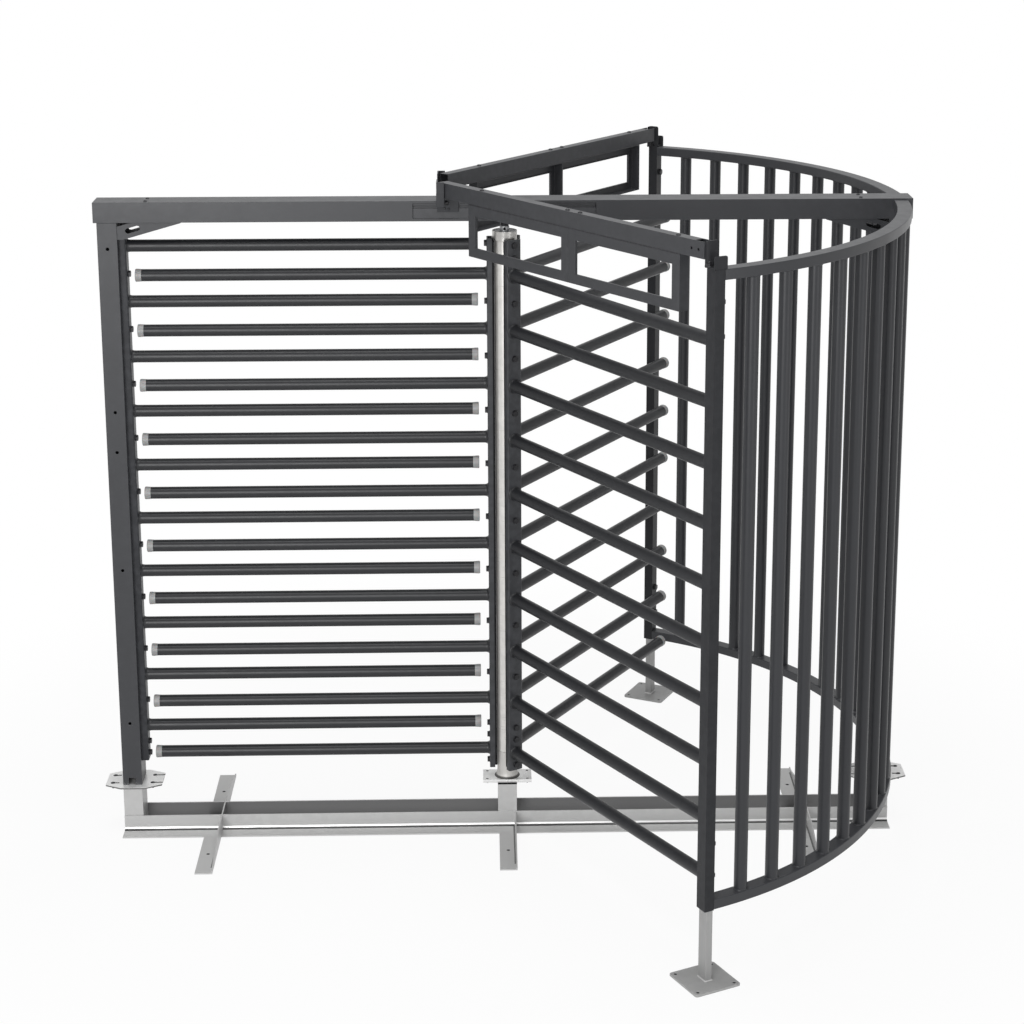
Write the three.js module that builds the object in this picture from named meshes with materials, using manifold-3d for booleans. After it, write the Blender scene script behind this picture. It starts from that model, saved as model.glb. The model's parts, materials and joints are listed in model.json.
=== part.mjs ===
// Full height turnstile: a rotor with three wings of horizontal bars turns between a fixed comb
// on the left and a curved cage of upright bars on the right, under a main beam that holds the
// locking mechanism. Two slanting header beams with window panels close the space above the way
// in and the way out.
//
// Millimetres, Z up. The origin lies on the rotor axis at floor level. X runs along the main
// beam, and people walk through along Y.

import * as THREE from 'three';
import { mergeVertices } from 'three/addons/utils/BufferGeometryUtils.js';
import Module from 'manifold-3d';

const wasm = await Module();
wasm.setup();

// Fits and facets

const seatGap = 0.3;            // between pieces that meet on cut, turned or slanted faces
const slideGap = 0.4;           // between a sliding leg and the post round it
const runningGap = 0.6;         // between a turning piece and its bearing
const overrun = 6;              // how far a cutting shape runs past the face that it cuts
const weldSink = 1.5;           // how far a welded piece runs into the one that carries it
const barSides = 12;
const roundSides = 24;
const holeSides = 8;
const cornerSteps = 3;

// Bars of the comb, the wings and the cage

const barDiameter = 43.2;
const barCount = 10;
const capLength = 21;           // left free at the tip of a bar for its plastic cap
const flareDiameter = 58;
const flareLength = 15;
const combHeadMargin = 29;      // from the top of the comb's channel down to its highest bar
const wingFootMargin = 68;      // from a wing's lowest bar down to the foot of its channel
const combRise = 6;             // of the comb's bars above the middle between two wing bars

// Upright channels that carry the bars

const channelWidth = 58;
const channelSheet = 4;
const channelBend = 6;
const channelCorner = 14;

// Rotor

const wingReach = 1300;
const wingAngles = [180, 59.2, -59.2].map((degrees) => THREE.MathUtils.degToRad(degrees));
const wingChannelOuter = 64;    // distance of the channel's web from the axis
const wingChannelInner = 42;    // distance of its open edges from the axis
const wingFloorGap = 41.5;      // from the floor plates up to the foot of the channels
const wingRail = 14;            // thickness of the rail between each channel and the shaft
const shaftDiameter = 73;
const shaftWall = 3;
const cupDiameter = 88;
const cupGap = 42;              // from the top of the cup up to the main beam
const cupOverChannels = 26;     // from the top of the channels up to the top of the cup
const cupHeight = 33;
const cupRise = 14;
const cupRim = 3;
const cupRecess = 8;            // from the rim down to the disc's seat
const discThickness = 6;
const nutDiameter = 34;
const nutHeight = 16;
const spindleDiameter = 30;
const spindleNeck = 24;
const spindlePlay = 4;          // round the spindle where it enters the beam

// Pedestal and bottom bearing

const floorLevel = 182;         // top of the pedestal plate and of the floor plates
const pedestalLength = 180;
const pedestalDepth = 96;
const pedestalPlate = 12;
const pedestalRise = 102;       // from the plate up to the seam under the shaft
const pedestalFlareDiameter = 98;
const pedestalFlareHeight = 24;
const pedestalHole = 11;
const pedestalHoleInsetX = 16;
const pedestalHoleInsetY = 12;
const spigotDiameter = 40;
const spigotRise = 42;
const bearingHeight = 16;
const bearingLift = 6;          // shoulder on the spigot under the bottom bearing
const shoulderWidth = 4;
const shaftShoulder = 10;
const shaftShoulderBore = 46;

// Main beam and posts

const beamOverhang = 17;        // from the outside of the cage to the end of the beam
const beamDepth = 110;
const beamHeight = 72;
const beamTop = 2360;
const sheet = 3;
const postWidth = 70;
const postInset = 12;           // from the end of the beam to the outer face of the post
const postHole = 12;
const postHoleShares = [0.956, 0.676, 0.606, 0.3958, 0.115];   // of the post's height
const notchWidth = 24;
const notchHeight = 27;
const notchOffset = 1;          // from the middle of the post to the outside

// Opening and cover of the main beam

const openingLength = 640;
const openingHeight = 53;
const openingLip = 9.5;         // from the top of the beam to the top of the opening
const coverFit = 1;
const coverRecess = 1.5;
const coverSheet = 2.5;
const coverPanelHeight = 36;
const coverGroove = 8;
const coverGrooveDepth = 9;
const coverLipSetback = 4;

// Gussets between beam and posts

const gussetReach = 222;
const gussetDrop = 60;
const gussetDepth = 80;         // between the outsides of its two webs
const gussetSetback = 2;        // from the front of the post to the front web
const gussetToe = 2;
const gussetSheet = 3;
const gussetHeel = 19;          // length of its level edge beside the post
const gussetReliefLength = 48;
const gussetReliefHeight = 13;
const gussetSlotLength = 36;
const gussetSlotWidth = 18;
const gussetSlotStart = 37;     // from the post to the slot's first centre
const gussetSlotLevel = 29;     // from the beam down to that centre

// Comb

const combTipGap = 95;          // from the rotor axis to the tips of the comb
const combChannelReach = 25;
const combGussetGap = 1.5;
const combFloorGap = 85;        // from the floor plate up to the foot of its channel

// Floor plates and stubs

const floorPlateLength = 207;
const floorPlateShift = 3.5;    // of its middle from the middle of the post to the inside
const floorPlateDepth = 164;
const floorPlateThickness = 6;
const floorPlateShortSide = 102;
const floorPlateLongSide = 88;
const floorSlotWidth = 14;
const floorSlotSpanX = 144;
const floorSlotSpanY = 68;
const floorSlotLength = 10;

// Base frame

const angleHeight = 60;
const angleFlange = 69;
const angleSheet = 5;
const crossFootInset = 331;     // from the end of the long angles to the middle of a cross foot
const crossFootWidth = 63;
const crossFootHalfLength = 428;
const crossFootFull = 190;      // the upright leg keeps its height up to here
const crossFootToe = 400;       // and has come down to the toe height here
const crossFootToeHeight = 10;
const anchorHole = 14;
const anchorOffset = 273;

// Cage

const cageClearance = 65;       // from the wing tips to the rings
const ringWidth = 50;
const ringHeight = 34;
const ringDrop = 5;             // from the top of the main beam down to the top of the ring
const ringFloorGap = 76;        // from the floor plates up to the foot of the lower ring
const ringSteps = 14;
const endPostAngle = THREE.MathUtils.degToRad(63.3);
const cageBarAngle = THREE.MathUtils.degToRad(5.56);
const endPostDepth = 50;        // along the radius
const endPostWidth = 30;
const endPostWall = 2.5;
const endPostDrop = 2.5;        // from the foot of the ring to the foot of the post
const legInsertion = 160;
const legWall = 2.5;
const footPlate = 170;
const footPlateThickness = 8;
const footPlateCorner = 9;
const footHole = 11;
const footHoleInset = 16;

// Header beams, panels and their brackets

const headerAngle = THREE.MathUtils.degToRad(54.4);
const headerProud = 25.6;       // from the end post's centre to the header's outer face
const headerWidth = 37;
const headerHeight = 53;
const headerRise = 78;          // from the top of the ring up to the top of the header
const headerSheet = 2.5;
const headerStart = -54;        // along the header, from the point nearest to the rotor axis
const headerEndGap = 30;        // from the end of the header beam to the end post's centre
const headerNotch = 45;
const headerHole = 10;
const headerHoleSteps = [27, 59];
const panelStart = 121;
const panelEndGap = 112.3;      // from the outer panel to the end of the header
const panelHeight = 181;
const panelSheet = 3;
const panelStile = 37;
const panelTopRail = 37;
const panelFootRail = 33;
const panelReturn = 9;
const rootPlate = 4;
const rootClearance = 5;        // between the bracket's uprights and the header
const rootLap = 31;             // how far the front upright laps over the header's outer face
const rootShelf = 76;
const rootRise = 4;             // the uprights end this far above the top of the header
const rootCheekFoot = 10;       // and this far below the top of the main beam
const rootFoot = 40;            // the wall plate reaches this far below that top
const saddlePlate = 4;
const saddleBend = 15;          // outer radius of its bend
const saddleWidth = 43;
const saddleRise = 5;           // its upright plate ends this far above the top of the header
const saddleCorner = 8;
const saddleLegLength = 72;     // how far its leg runs into the header beam
const saddleLegMargin = 5.7;    // above and below that leg, inside the header beam
const saddleShelfReach = 24;    // how far its shelf reaches to the open side of the end post
const lugOverhang = 7;          // how far the lug reaches past the ring side of the end post
const lugHeight = 41;
const lugCorner = 6;

// Mechanism in the main beam

const mechPlate = 4;
const mechPlateEnd = 5;         // past the outer end of the control board
const mechPlateMargin = 3;
const topBearingDiameter = 68;
const topBearingHeight = 12;
const spindleRise = 14;         // how far the spindle runs above the index wheel
const wheelDiameter = 88;
const wheelThickness = 10;
const wheelLift = 3;
const wheelNotches = 12;
const notchMouth = 12;
const notchBottom = 9;
const notchDepth = 7;
const pawlPivotX = 58;
const pawlPivotY = 34;
const pawlNose = 5.5;           // width of the nose
const pawlBite = 6;             // depth of the nose in a notch when it locks
const pawlSwing = THREE.MathUtils.degToRad(17);
const pawlBoss = 17;
const pawlArm = 10;
const pawlPinDiameter = 8;
const pawlPinHead = 4;
const solenoidLength = 54;
const solenoidHeight = 34;
const solenoidDepth = 36;
const solenoidClear = 26;       // from the pawl's arm to the solenoid's body
const plungerDiameter = 9;
const boardLength = 120;
const boardDepth = 70;
const boardThickness = 2;
const boardStandoff = 8;
const boardStandoffSize = 10;
const boardGap = 9.4;           // between the board and the solenoid beside it

// Sizes that follow from those above

const barRadius = barDiameter / 2;
const shaftRadius = shaftDiameter / 2;
const shaftBore = shaftRadius - shaftWall;
const pedestalTop = floorLevel + pedestalRise;
const beamFoot = beamTop - beamHeight;
const ringInner = wingReach + cageClearance;
const ringOuter = ringInner + ringWidth;
const cageRadius = (ringInner + ringOuter) / 2;
const ringTop = beamTop - ringDrop;
const ringFoot = floorLevel + ringFloorGap;
const beamEnd = ringOuter + beamOverhang;
const postOuter = beamEnd - postInset;
const postInner = postOuter - postWidth;
const postCentre = (postOuter + postInner) / 2;
const postDepth = beamDepth;
const stubDepth = beamDepth;
const cupTop = beamFoot - cupGap;
const wingChannelTop = cupTop - cupOverChannels;
const wingChannelFoot = floorLevel + wingFloorGap;
const combChannelTop = beamFoot - gussetDrop - combGussetGap;
const combChannelFoot = floorLevel + combFloorGap;
const combTopBarLevel = combChannelTop - combHeadMargin;
const lowestWingBarLevel = wingChannelFoot + wingFootMargin;
const barPitch = (combTopBarLevel - combRise - lowestWingBarLevel) / (barCount - 1 / 2);
const topWingBarLevel = combTopBarLevel - combRise - barPitch / 2;
const headerTurn = endPostAngle - headerAngle;
const headerOffset = cageRadius * Math.sin(headerTurn) + headerProud;
const headerInner = headerOffset - headerWidth;
const headerTop = ringTop + headerRise;
const headerFoot = headerTop - headerHeight;
const headerEnd = cageRadius * Math.cos(headerTurn) - headerEndGap;
const panelLength = (headerEnd - panelStart - panelEndGap) / 2;
const mechFloor = beamFoot + sheet;
const mechTop = mechFloor + mechPlate;
const wheelFoot = mechTop + topBearingHeight + wheelLift;
const wheelTop = wheelFoot + wheelThickness;

// Building blocks

const axisX = new THREE.Vector3(1, 0, 0);
const axisY = new THREE.Vector3(0, 1, 0);
const axisZ = new THREE.Vector3(0, 0, 1);

function point(x, y) {
  return new THREE.Vector2(x, y);
}

// Turns any closed three.js geometry into one indexed mesh with its faces pointing out.
function closed(geometry) {
  const bare = geometry.clone();
  bare.deleteAttribute('normal');
  bare.deleteAttribute('uv');
  const merged = mergeVertices(bare);
  const place = merged.getAttribute('position');
  const source = merged.getIndex().array;
  const faces = [];
  let volume = 0;
  const a = new THREE.Vector3();
  const b = new THREE.Vector3();
  const c = new THREE.Vector3();
  for (let i = 0; i < source.length; i += 3) {
    const corners = [source[i], source[i + 1], source[i + 2]];
    if (new Set(corners).size < 3) continue;
    faces.push(corners);
    a.fromBufferAttribute(place, corners[0]);
    b.fromBufferAttribute(place, corners[1]);
    c.fromBufferAttribute(place, corners[2]);
    volume += a.dot(b.cross(c));
  }
  const index = faces.flatMap(([i, j, k]) => (volume < 0 ? [i, k, j] : [i, j, k]));
  const result = new THREE.BufferGeometry();
  result.setAttribute('position', place.clone());
  result.setIndex(index);
  return result;
}

function solidOf(geometry) {
  const mesh = closed(geometry);
  return new wasm.Manifold(new wasm.Mesh({
    numProp: 3,
    vertProperties: new Float32Array(mesh.getAttribute('position').array),
    triVerts: new Uint32Array(mesh.getIndex().array),
  }));
}

function geometryOf(solid) {
  const mesh = solid.getMesh();
  const result = new THREE.BufferGeometry();
  result.setAttribute('position', new THREE.BufferAttribute(mesh.vertProperties, 3));
  result.setIndex([...mesh.triVerts]);
  return result;
}

function joined(pieces) {
  return geometryOf(pieces.map(solidOf).reduce((sum, next) => sum.add(next)));
}

function cut(body, tools) {
  return geometryOf(tools.map(solidOf).reduce((rest, tool) => rest.subtract(tool), solidOf(body)));
}

function common(body, other) {
  return geometryOf(solidOf(body).intersect(solidOf(other)));
}

function block(x0, x1, y0, y1, z0, z1) {
  const shape = new THREE.BoxGeometry(x1 - x0, y1 - y0, z1 - z0);
  return shape.translate((x0 + x1) / 2, (y0 + y1) / 2, (z0 + z1) / 2);
}

function extruded(outline, length, holes) {
  const shape = new THREE.Shape(outline);
  shape.holes = holes.map((hole) => new THREE.Path(hole));
  return new THREE.ExtrudeGeometry(shape, { depth: length, bevelEnabled: false });
}

// An outline in X and Y, raised from z0 to z1.
function uprightPrism(outline, z0, z1, holes = []) {
  return extruded(outline, z1 - z0, holes).translate(0, 0, z0);
}

// An outline in Y and Z, run from x0 to x1.
function lengthwisePrism(outline, x0, x1, holes = []) {
  const turn = new THREE.Matrix4().makeBasis(axisY, axisZ, axisX);
  return extruded(outline, x1 - x0, holes).applyMatrix4(turn).translate(x0, 0, 0);
}

// An outline in X and Z, run from y0 to y1.
function crosswisePrism(outline, y0, y1, holes = []) {
  const turn = new THREE.Matrix4().makeBasis(axisX, axisZ, axisY.clone().negate());
  return extruded(outline, y1 - y0, holes).applyMatrix4(turn).translate(0, y1, 0);
}

function rectangle(x0, x1, y0, y1) {
  return [point(x0, y0), point(x1, y0), point(x1, y1), point(x0, y1)];
}

// Rounds the corners of an outline, with a radius for each corner.
function rounded(corners, radii, steps = cornerSteps) {
  return corners.flatMap((corner, i) => {
    const radius = radii[i];
    if (radius === 0) return [corner];
    const before = corners[(i + corners.length - 1) % corners.length].clone().sub(corner).normalize();
    const after = corners[(i + 1) % corners.length].clone().sub(corner).normalize();
    const half = Math.acos(before.dot(after)) / 2;
    const setback = radius / Math.tan(half);
    const start = corner.clone().addScaledVector(before, setback);
    const end = corner.clone().addScaledVector(after, setback);
    const inward = before.clone().add(after).normalize();
    const centre = corner.clone().addScaledVector(inward, radius / Math.sin(half));
    const from = start.clone().sub(centre);
    const turn = Math.atan2(from.cross(end.clone().sub(centre)), from.dot(end.clone().sub(centre)));
    return Array.from({ length: steps + 1 }, (_, step) =>
      from.clone().rotateAround(new THREE.Vector2(), (turn * step) / steps).add(centre));
  });
}

function circle(x, y, radius, sides = holeSides) {
  return Array.from({ length: sides }, (_, i) => {
    const angle = (2 * Math.PI * (i + 0.5)) / sides;
    return point(x + radius * Math.cos(angle), y + radius * Math.sin(angle));
  });
}

// A slot with round ends from one centre to another.
function slot(from, to, width) {
  const along = to.clone().sub(from).angle();
  const half = holeSides / 2;
  const end = (centre, start) => Array.from({ length: half + 1 }, (_, i) =>
    point(width / 2, 0).rotateAround(new THREE.Vector2(), start + (Math.PI * i) / half).add(centre));
  return [...end(to, along - Math.PI / 2), ...end(from, along + Math.PI / 2)];
}

// A revolved profile of [radius, height] pairs about the Z axis.
function turned(profile, sides = roundSides) {
  const points = profile.map(([radius, height]) => point(radius, height));
  return new THREE.LatheGeometry(points, sides).rotateX(Math.PI / 2);
}

function turnedRing(profile, sides = roundSides) {
  return turned([...profile, profile[0]], sides);
}

// The same geometry on the other side of the XZ plane.
function mirrored(geometry) {
  const copy = closed(geometry);
  const place = copy.getAttribute('position');
  for (let i = 0; i < place.count; i += 1) place.setY(i, -place.getY(i));
  const index = copy.getIndex().array;
  const flipped = [];
  for (let i = 0; i < index.length; i += 3) flipped.push(index[i], index[i + 2], index[i + 1]);
  copy.setIndex(flipped);
  return copy;
}

const finishes = {
  coated: { color: 0x4a4b4f, roughness: 0.55, metalness: 0.25 },
  bright: { color: 0xb4b3b1, roughness: 0.38, metalness: 0.9 },
  shaft: { color: 0xbdb6ac, roughness: 0.3, metalness: 0.9 },
  steel: { color: 0x8d9094, roughness: 0.4, metalness: 0.9 },
  dark: { color: 0x26282b, roughness: 0.6, metalness: 0.1 },
  board: { color: 0x2c5a3a, roughness: 0.6, metalness: 0.0 },
};

function piece(name, geometry, finish) {
  const shape = closed(geometry);
  shape.computeVertexNormals();
  const mesh = new THREE.Mesh(shape, new THREE.MeshStandardMaterial(finishes[finish]));
  mesh.name = name;
  return mesh;
}

const turnstile = new THREE.Group();

function add(name, geometry, finish) {
  turnstile.add(piece(name, geometry, finish));
}

// The same geometry on the other side of the YZ plane.
function opposite(geometry) {
  return mirrored(geometry).rotateZ(Math.PI);
}

function rodAlongX(x0, x1, y, z, radius, sides) {
  const rod = new THREE.CylinderGeometry(radius, radius, x1 - x0, sides);
  return rod.rotateZ(Math.PI / 2).translate((x0 + x1) / 2, y, z);
}

function rodUpright(x, y, z0, z1, radius, sides) {
  const rod = new THREE.CylinderGeometry(radius, radius, z1 - z0, sides);
  return rod.rotateX(Math.PI / 2).translate(x, y, (z0 + z1) / 2);
}

function levels(top) {
  return Array.from({ length: barCount }, (_, i) => top - barPitch * i);
}

// A horizontal bar that leaves its channel at x0 with a flared root and ends at x1.
function flaredBar(x0, x1, z) {
  const profile = [
    [0, -weldSink],
    [flareDiameter / 2, -weldSink],
    [flareDiameter / 2, 0],
    [barRadius, flareLength],
    [barRadius, x1 - x0],
    [0, x1 - x0],
  ];
  return turned(profile, barSides).rotateY(Math.PI / 2).translate(x0, 0, z);
}

// An upright channel whose open edges lie at x0 and whose web faces along X at x1.
function uprightChannel(x0, x1, z0, z1) {
  const half = channelWidth / 2;
  const inner = half - channelSheet;
  const corners = [
    point(x0, -half),
    point(x1, -half),
    point(x1, half),
    point(x0, half),
    point(x0, inner),
    point(x1 - channelSheet, inner),
    point(x1 - channelSheet, -inner),
    point(x0, -inner),
  ];
  const bends = [0, channelBend, channelBend, 0, 0, 0, 0, 0];
  const channel = uprightPrism(rounded(corners, bends), z0, z1);
  const ends = rounded(rectangle(-half, half, z0, z1), [channelCorner, channelCorner, 0, 0]);
  return common(channel, lengthwisePrism(ends, x0, x1));
}

// Main beam with its opening, and the cover in it

const openingTop = beamTop - openingLip;
const openingFoot = openingTop - openingHeight;
const beamFront = -beamDepth / 2;

function mainBeam() {
  const half = beamDepth / 2;
  const outer = block(-beamEnd, beamEnd, -half, half, beamFoot, beamTop);
  const inside = beamEnd - sheet;
  const hollow = block(-inside, inside, sheet - half, half - sheet, beamFoot + sheet, beamTop - sheet);
  const openingHalf = openingLength / 2;
  const opening = block(
    -openingHalf, openingHalf, beamFront - overrun, beamFront + overrun, openingFoot, openingTop,
  );
  const hubRadius = spindleDiameter / 2 + spindlePlay;
  const hub = rodUpright(0, 0, beamFoot - overrun, beamFoot + overrun, hubRadius, roundSides);
  return cut(outer, [hollow, opening, hub]);
}

function accessCover() {
  const half = openingLength / 2 - coverFit;
  const front = beamFront + coverRecess;
  const panelTop = openingFoot + coverPanelHeight;
  const grooveTop = panelTop + coverGroove;
  const grooveBack = front + coverGrooveDepth;
  const lip = front + coverLipSetback;
  const top = openingTop - coverFit;
  const outline = [
    point(front, openingFoot),
    point(front + coverSheet, openingFoot),
    point(front + coverSheet, panelTop - coverSheet),
    point(grooveBack, panelTop - coverSheet),
    point(grooveBack, grooveTop + coverSheet),
    point(lip + coverSheet, grooveTop + coverSheet),
    point(lip + coverSheet, top),
    point(lip, top),
    point(lip, grooveTop),
    point(grooveBack - coverSheet, grooveTop),
    point(grooveBack - coverSheet, panelTop),
    point(front, panelTop),
  ];
  return lengthwisePrism(outline, -half, half);
}

add('main_beam', mainBeam(), 'coated');
add('access_cover', accessCover(), 'coated');

// Posts, their gussets, floor plates and stubs, modelled on the right-hand side

function boxTube(x0, x1, depth, z0, z1, wall) {
  const hole = rectangle(x0 + wall, x1 - wall, wall - depth / 2, depth / 2 - wall);
  return uprightPrism(rectangle(x0, x1, -depth / 2, depth / 2), z0, z1, [hole]);
}

function post() {
  const front = -postDepth / 2;
  const tools = postHoleShares.map((share) => {
    const level = floorLevel + share * (beamFoot - floorLevel);
    return crosswisePrism(circle(postCentre, level, postHole / 2), front - overrun, front + overrun);
  });
  const notchCentre = postCentre + notchOffset;
  tools.push(block(
    notchCentre - notchWidth / 2, notchCentre + notchWidth / 2,
    front - overrun, front + overrun,
    floorLevel - overrun, floorLevel + notchHeight,
  ));
  return cut(boxTube(postInner, postOuter, postDepth, floorLevel, beamFoot, sheet), tools);
}

function gusset() {
  const top = beamFoot;
  const foot = beamFoot - gussetDrop;
  const toe = postInner - gussetReach;
  const heel = postInner - gussetHeel;
  const front = gussetSetback - postDepth / 2;
  const back = front + gussetDepth;
  const web = [
    point(postInner, foot),
    point(postInner, top - gussetReliefHeight),
    point(postInner - gussetReliefLength, top),
    point(toe, top),
    point(toe, top - gussetToe),
    point(heel, foot),
  ];
  const slope = Math.atan((gussetDrop - gussetToe) / (gussetReach - gussetHeel));
  const slotStart = point(postInner - gussetSlotStart, top - gussetSlotLevel);
  const slotRun = point(-gussetSlotLength, 0).rotateAround(new THREE.Vector2(), -slope);
  const window = slot(slotStart, slotStart.clone().add(slotRun), gussetSlotWidth);
  const lip = [
    point(toe, top - gussetToe),
    point(heel, foot),
    point(heel, foot + gussetSheet),
    point(toe, top),
  ];
  return joined([
    crosswisePrism(web, front, front + gussetSheet, [window]),
    crosswisePrism(web, back - gussetSheet, back, [window]),
    block(postInner - gussetSheet, postInner, front, back, foot, top - gussetReliefHeight),
    block(heel, postInner, front, back, foot, foot + gussetSheet),
    crosswisePrism(lip, front, back),
  ]);
}

function floorPlate() {
  const halfX = floorPlateLength / 2;
  const halfY = floorPlateDepth / 2;
  const shortHalf = floorPlateShortSide / 2;
  const longHalf = floorPlateLongSide / 2;
  const octagon = [
    point(-halfX, -shortHalf), point(-longHalf, -halfY), point(longHalf, -halfY), point(halfX, -shortHalf),
    point(halfX, shortHalf), point(longHalf, halfY), point(-longHalf, halfY), point(-halfX, shortHalf),
  ];
  const top = floorLevel;
  const foot = floorLevel - floorPlateThickness;
  const slotX = floorSlotSpanX / 2;
  const tools = [-floorSlotSpanY / 2, floorSlotSpanY / 2].flatMap((y) => [
    slot(point(slotX, y), point(slotX - floorSlotLength, y), floorSlotWidth),
    slot(point(-slotX, y), point(-halfX - overrun, y), floorSlotWidth),
  ]);
  const cutters = tools.map((outline) => uprightPrism(outline, foot - overrun, top + overrun));
  return cut(uprightPrism(octagon, foot, top), cutters).translate(postCentre - floorPlateShift, 0, 0);
}

const stubTop = floorLevel - floorPlateThickness;
const pieceOfSide = {
  post: [post(), 'coated'],
  gusset: [gusset(), 'coated'],
  floor_plate: [floorPlate(), 'bright'],
  stub: [boxTube(postInner, postOuter, stubDepth, 0, stubTop, sheet), 'bright'],
};
for (const [name, [geometry, finish]] of Object.entries(pieceOfSide)) {
  add(`${name}_right`, geometry, finish);
  add(`${name}_left`, opposite(geometry), finish);
}

// Comb

function comb() {
  const open = -postInner;
  const web = open + combChannelReach;
  const channel = uprightChannel(open, web, combChannelFoot, combChannelTop);
  const tip = -combTipGap - capLength;
  return joined([channel, ...levels(combTopBarLevel).map((level) => flaredBar(web, tip, level))]);
}

add('comb', comb(), 'coated');

// Rotor, which turns as one piece

const spindleRadius = spindleDiameter / 2;
const neckRadius = spindleNeck / 2;
const shaftTop = cupTop - cupRise;
const discFoot = cupTop - cupRecess;
const shaftFoot = pedestalTop + runningGap;
const bottomBearingFoot = pedestalTop + bearingLift;
const bottomBearingTop = bottomBearingFoot + bearingHeight;

function rotorShaft() {
  const shoulder = shaftShoulderBore / 2;
  return turnedRing([
    [shaftBore, shaftFoot],
    [shaftRadius, shaftFoot],
    [shaftRadius, shaftTop],
    [shaftBore, shaftTop],
    [shaftBore, bottomBearingTop + shaftShoulder],
    [shoulder, bottomBearingTop + shaftShoulder],
    [shoulder, bottomBearingTop],
    [shaftBore, bottomBearingTop],
  ]);
}

function rotorCup() {
  const outer = cupDiameter / 2;
  const inner = shaftRadius + seatGap;
  const foot = cupTop - cupHeight;
  const rim = outer - cupRim;
  return turned([
    [0, shaftTop],
    [inner, shaftTop],
    [inner, foot],
    [outer, foot],
    [outer, cupTop],
    [rim, cupTop],
    [rim, discFoot],
    [0, discFoot],
  ]);
}

function rotorSpindle() {
  const disc = cupDiameter / 2 - cupRim - seatGap;
  const discTop = discFoot + discThickness;
  const nut = nutDiameter / 2;
  const nutTop = discTop + nutHeight;
  const top = wheelTop + spindleRise;
  return turned([
    [0, discFoot],
    [disc, discFoot],
    [disc, discTop],
    [nut, discTop],
    [nut, nutTop],
    [spindleRadius, nutTop],
    [spindleRadius, wheelFoot],
    [neckRadius, wheelFoot],
    [neckRadius, top],
    [0, top],
  ]);
}

function wing(angle) {
  const channel = uprightChannel(wingChannelInner, wingChannelOuter, wingChannelFoot, wingChannelTop);
  const rail = block(
    shaftRadius + seatGap, wingChannelOuter - channelSheet + weldSink,
    -wingRail / 2, wingRail / 2,
    wingChannelFoot, cupTop - cupHeight - seatGap,
  );
  const tip = wingReach - capLength;
  const bars = levels(topWingBarLevel).map((level) => flaredBar(wingChannelOuter, tip, level));
  return joined([channel, rail, ...bars]).rotateZ(angle);
}

function indexWheel() {
  const rim = wheelDiameter / 2;
  const floor = rim - notchDepth;
  const outline = Array.from({ length: wheelNotches }, (_, i) => {
    const angle = (2 * Math.PI * i) / wheelNotches;
    const between = angle + Math.PI / wheelNotches;
    const mouth = Math.asin(notchMouth / 2 / rim);
    const bottom = Math.asin(notchBottom / 2 / floor);
    const polar = (radius, turn) => point(radius * Math.cos(turn), radius * Math.sin(turn));
    return [
      polar(rim, angle - mouth),
      polar(floor, angle - bottom),
      polar(floor, angle + bottom),
      polar(rim, angle + mouth),
      polar(rim, between),
    ];
  }).flat();
  return uprightPrism(outline, wheelFoot, wheelTop, [circle(0, 0, neckRadius + seatGap, roundSides)]);
}

add('rotor_shaft', rotorShaft(), 'shaft');
add('rotor_cup', rotorCup(), 'shaft');
add('rotor_spindle', rotorSpindle(), 'steel');
['left', 'back', 'front'].forEach((side, i) => add(`wing_${side}`, wing(wingAngles[i]), 'coated'));
add('index_wheel', indexWheel(), 'steel');

// Pedestal with its bearing and centre stub

function pedestal() {
  const halfX = pedestalLength / 2;
  const halfY = pedestalDepth / 2;
  const foot = floorLevel - pedestalPlate;
  const holeX = halfX - pedestalHoleInsetX;
  const holeY = halfY - pedestalHoleInsetY;
  const holes = [[-holeX, -holeY], [holeX, -holeY], [holeX, holeY], [-holeX, holeY]];
  const outlines = holes.map(([x, y]) => circle(x, y, pedestalHole / 2));
  const plate = uprightPrism(rectangle(-halfX, halfX, -halfY, halfY), foot, floorLevel, outlines);
  const flare = pedestalFlareDiameter / 2;
  const spigot = spigotDiameter / 2;
  const shoulder = spigot + shoulderWidth;
  const spigotTop = pedestalTop + spigotRise;
  const column = turned([
    [0, floorLevel - weldSink],
    [flare, floorLevel - weldSink],
    [flare, floorLevel],
    [shaftRadius, floorLevel + pedestalFlareHeight],
    [shaftRadius, pedestalTop],
    [shoulder, pedestalTop],
    [shoulder, bottomBearingFoot],
    [spigot, bottomBearingFoot],
    [spigot, spigotTop],
    [0, spigotTop],
  ]);
  return joined([plate, column]);
}

function bearing(bore, outer, foot, top) {
  return turnedRing([[bore, foot], [outer, foot], [outer, top], [bore, top]]);
}

const bottomBearingOuter = shaftBore - runningGap - runningGap;
const bottomBearing = bearing(
  spigotDiameter / 2 + seatGap, bottomBearingOuter, bottomBearingFoot, bottomBearingTop,
);
const stubHalf = postWidth / 2;
const centreStub = boxTube(-stubHalf, stubHalf, stubDepth, 0, floorLevel - pedestalPlate, sheet);
add('pedestal', pedestal(), 'shaft');
add('bottom_bearing', bottomBearing, 'steel');
add('stub_centre', centreStub, 'bright');

// Base frame: two long angles, and cross feet that are open between them at the centre stub

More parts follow.
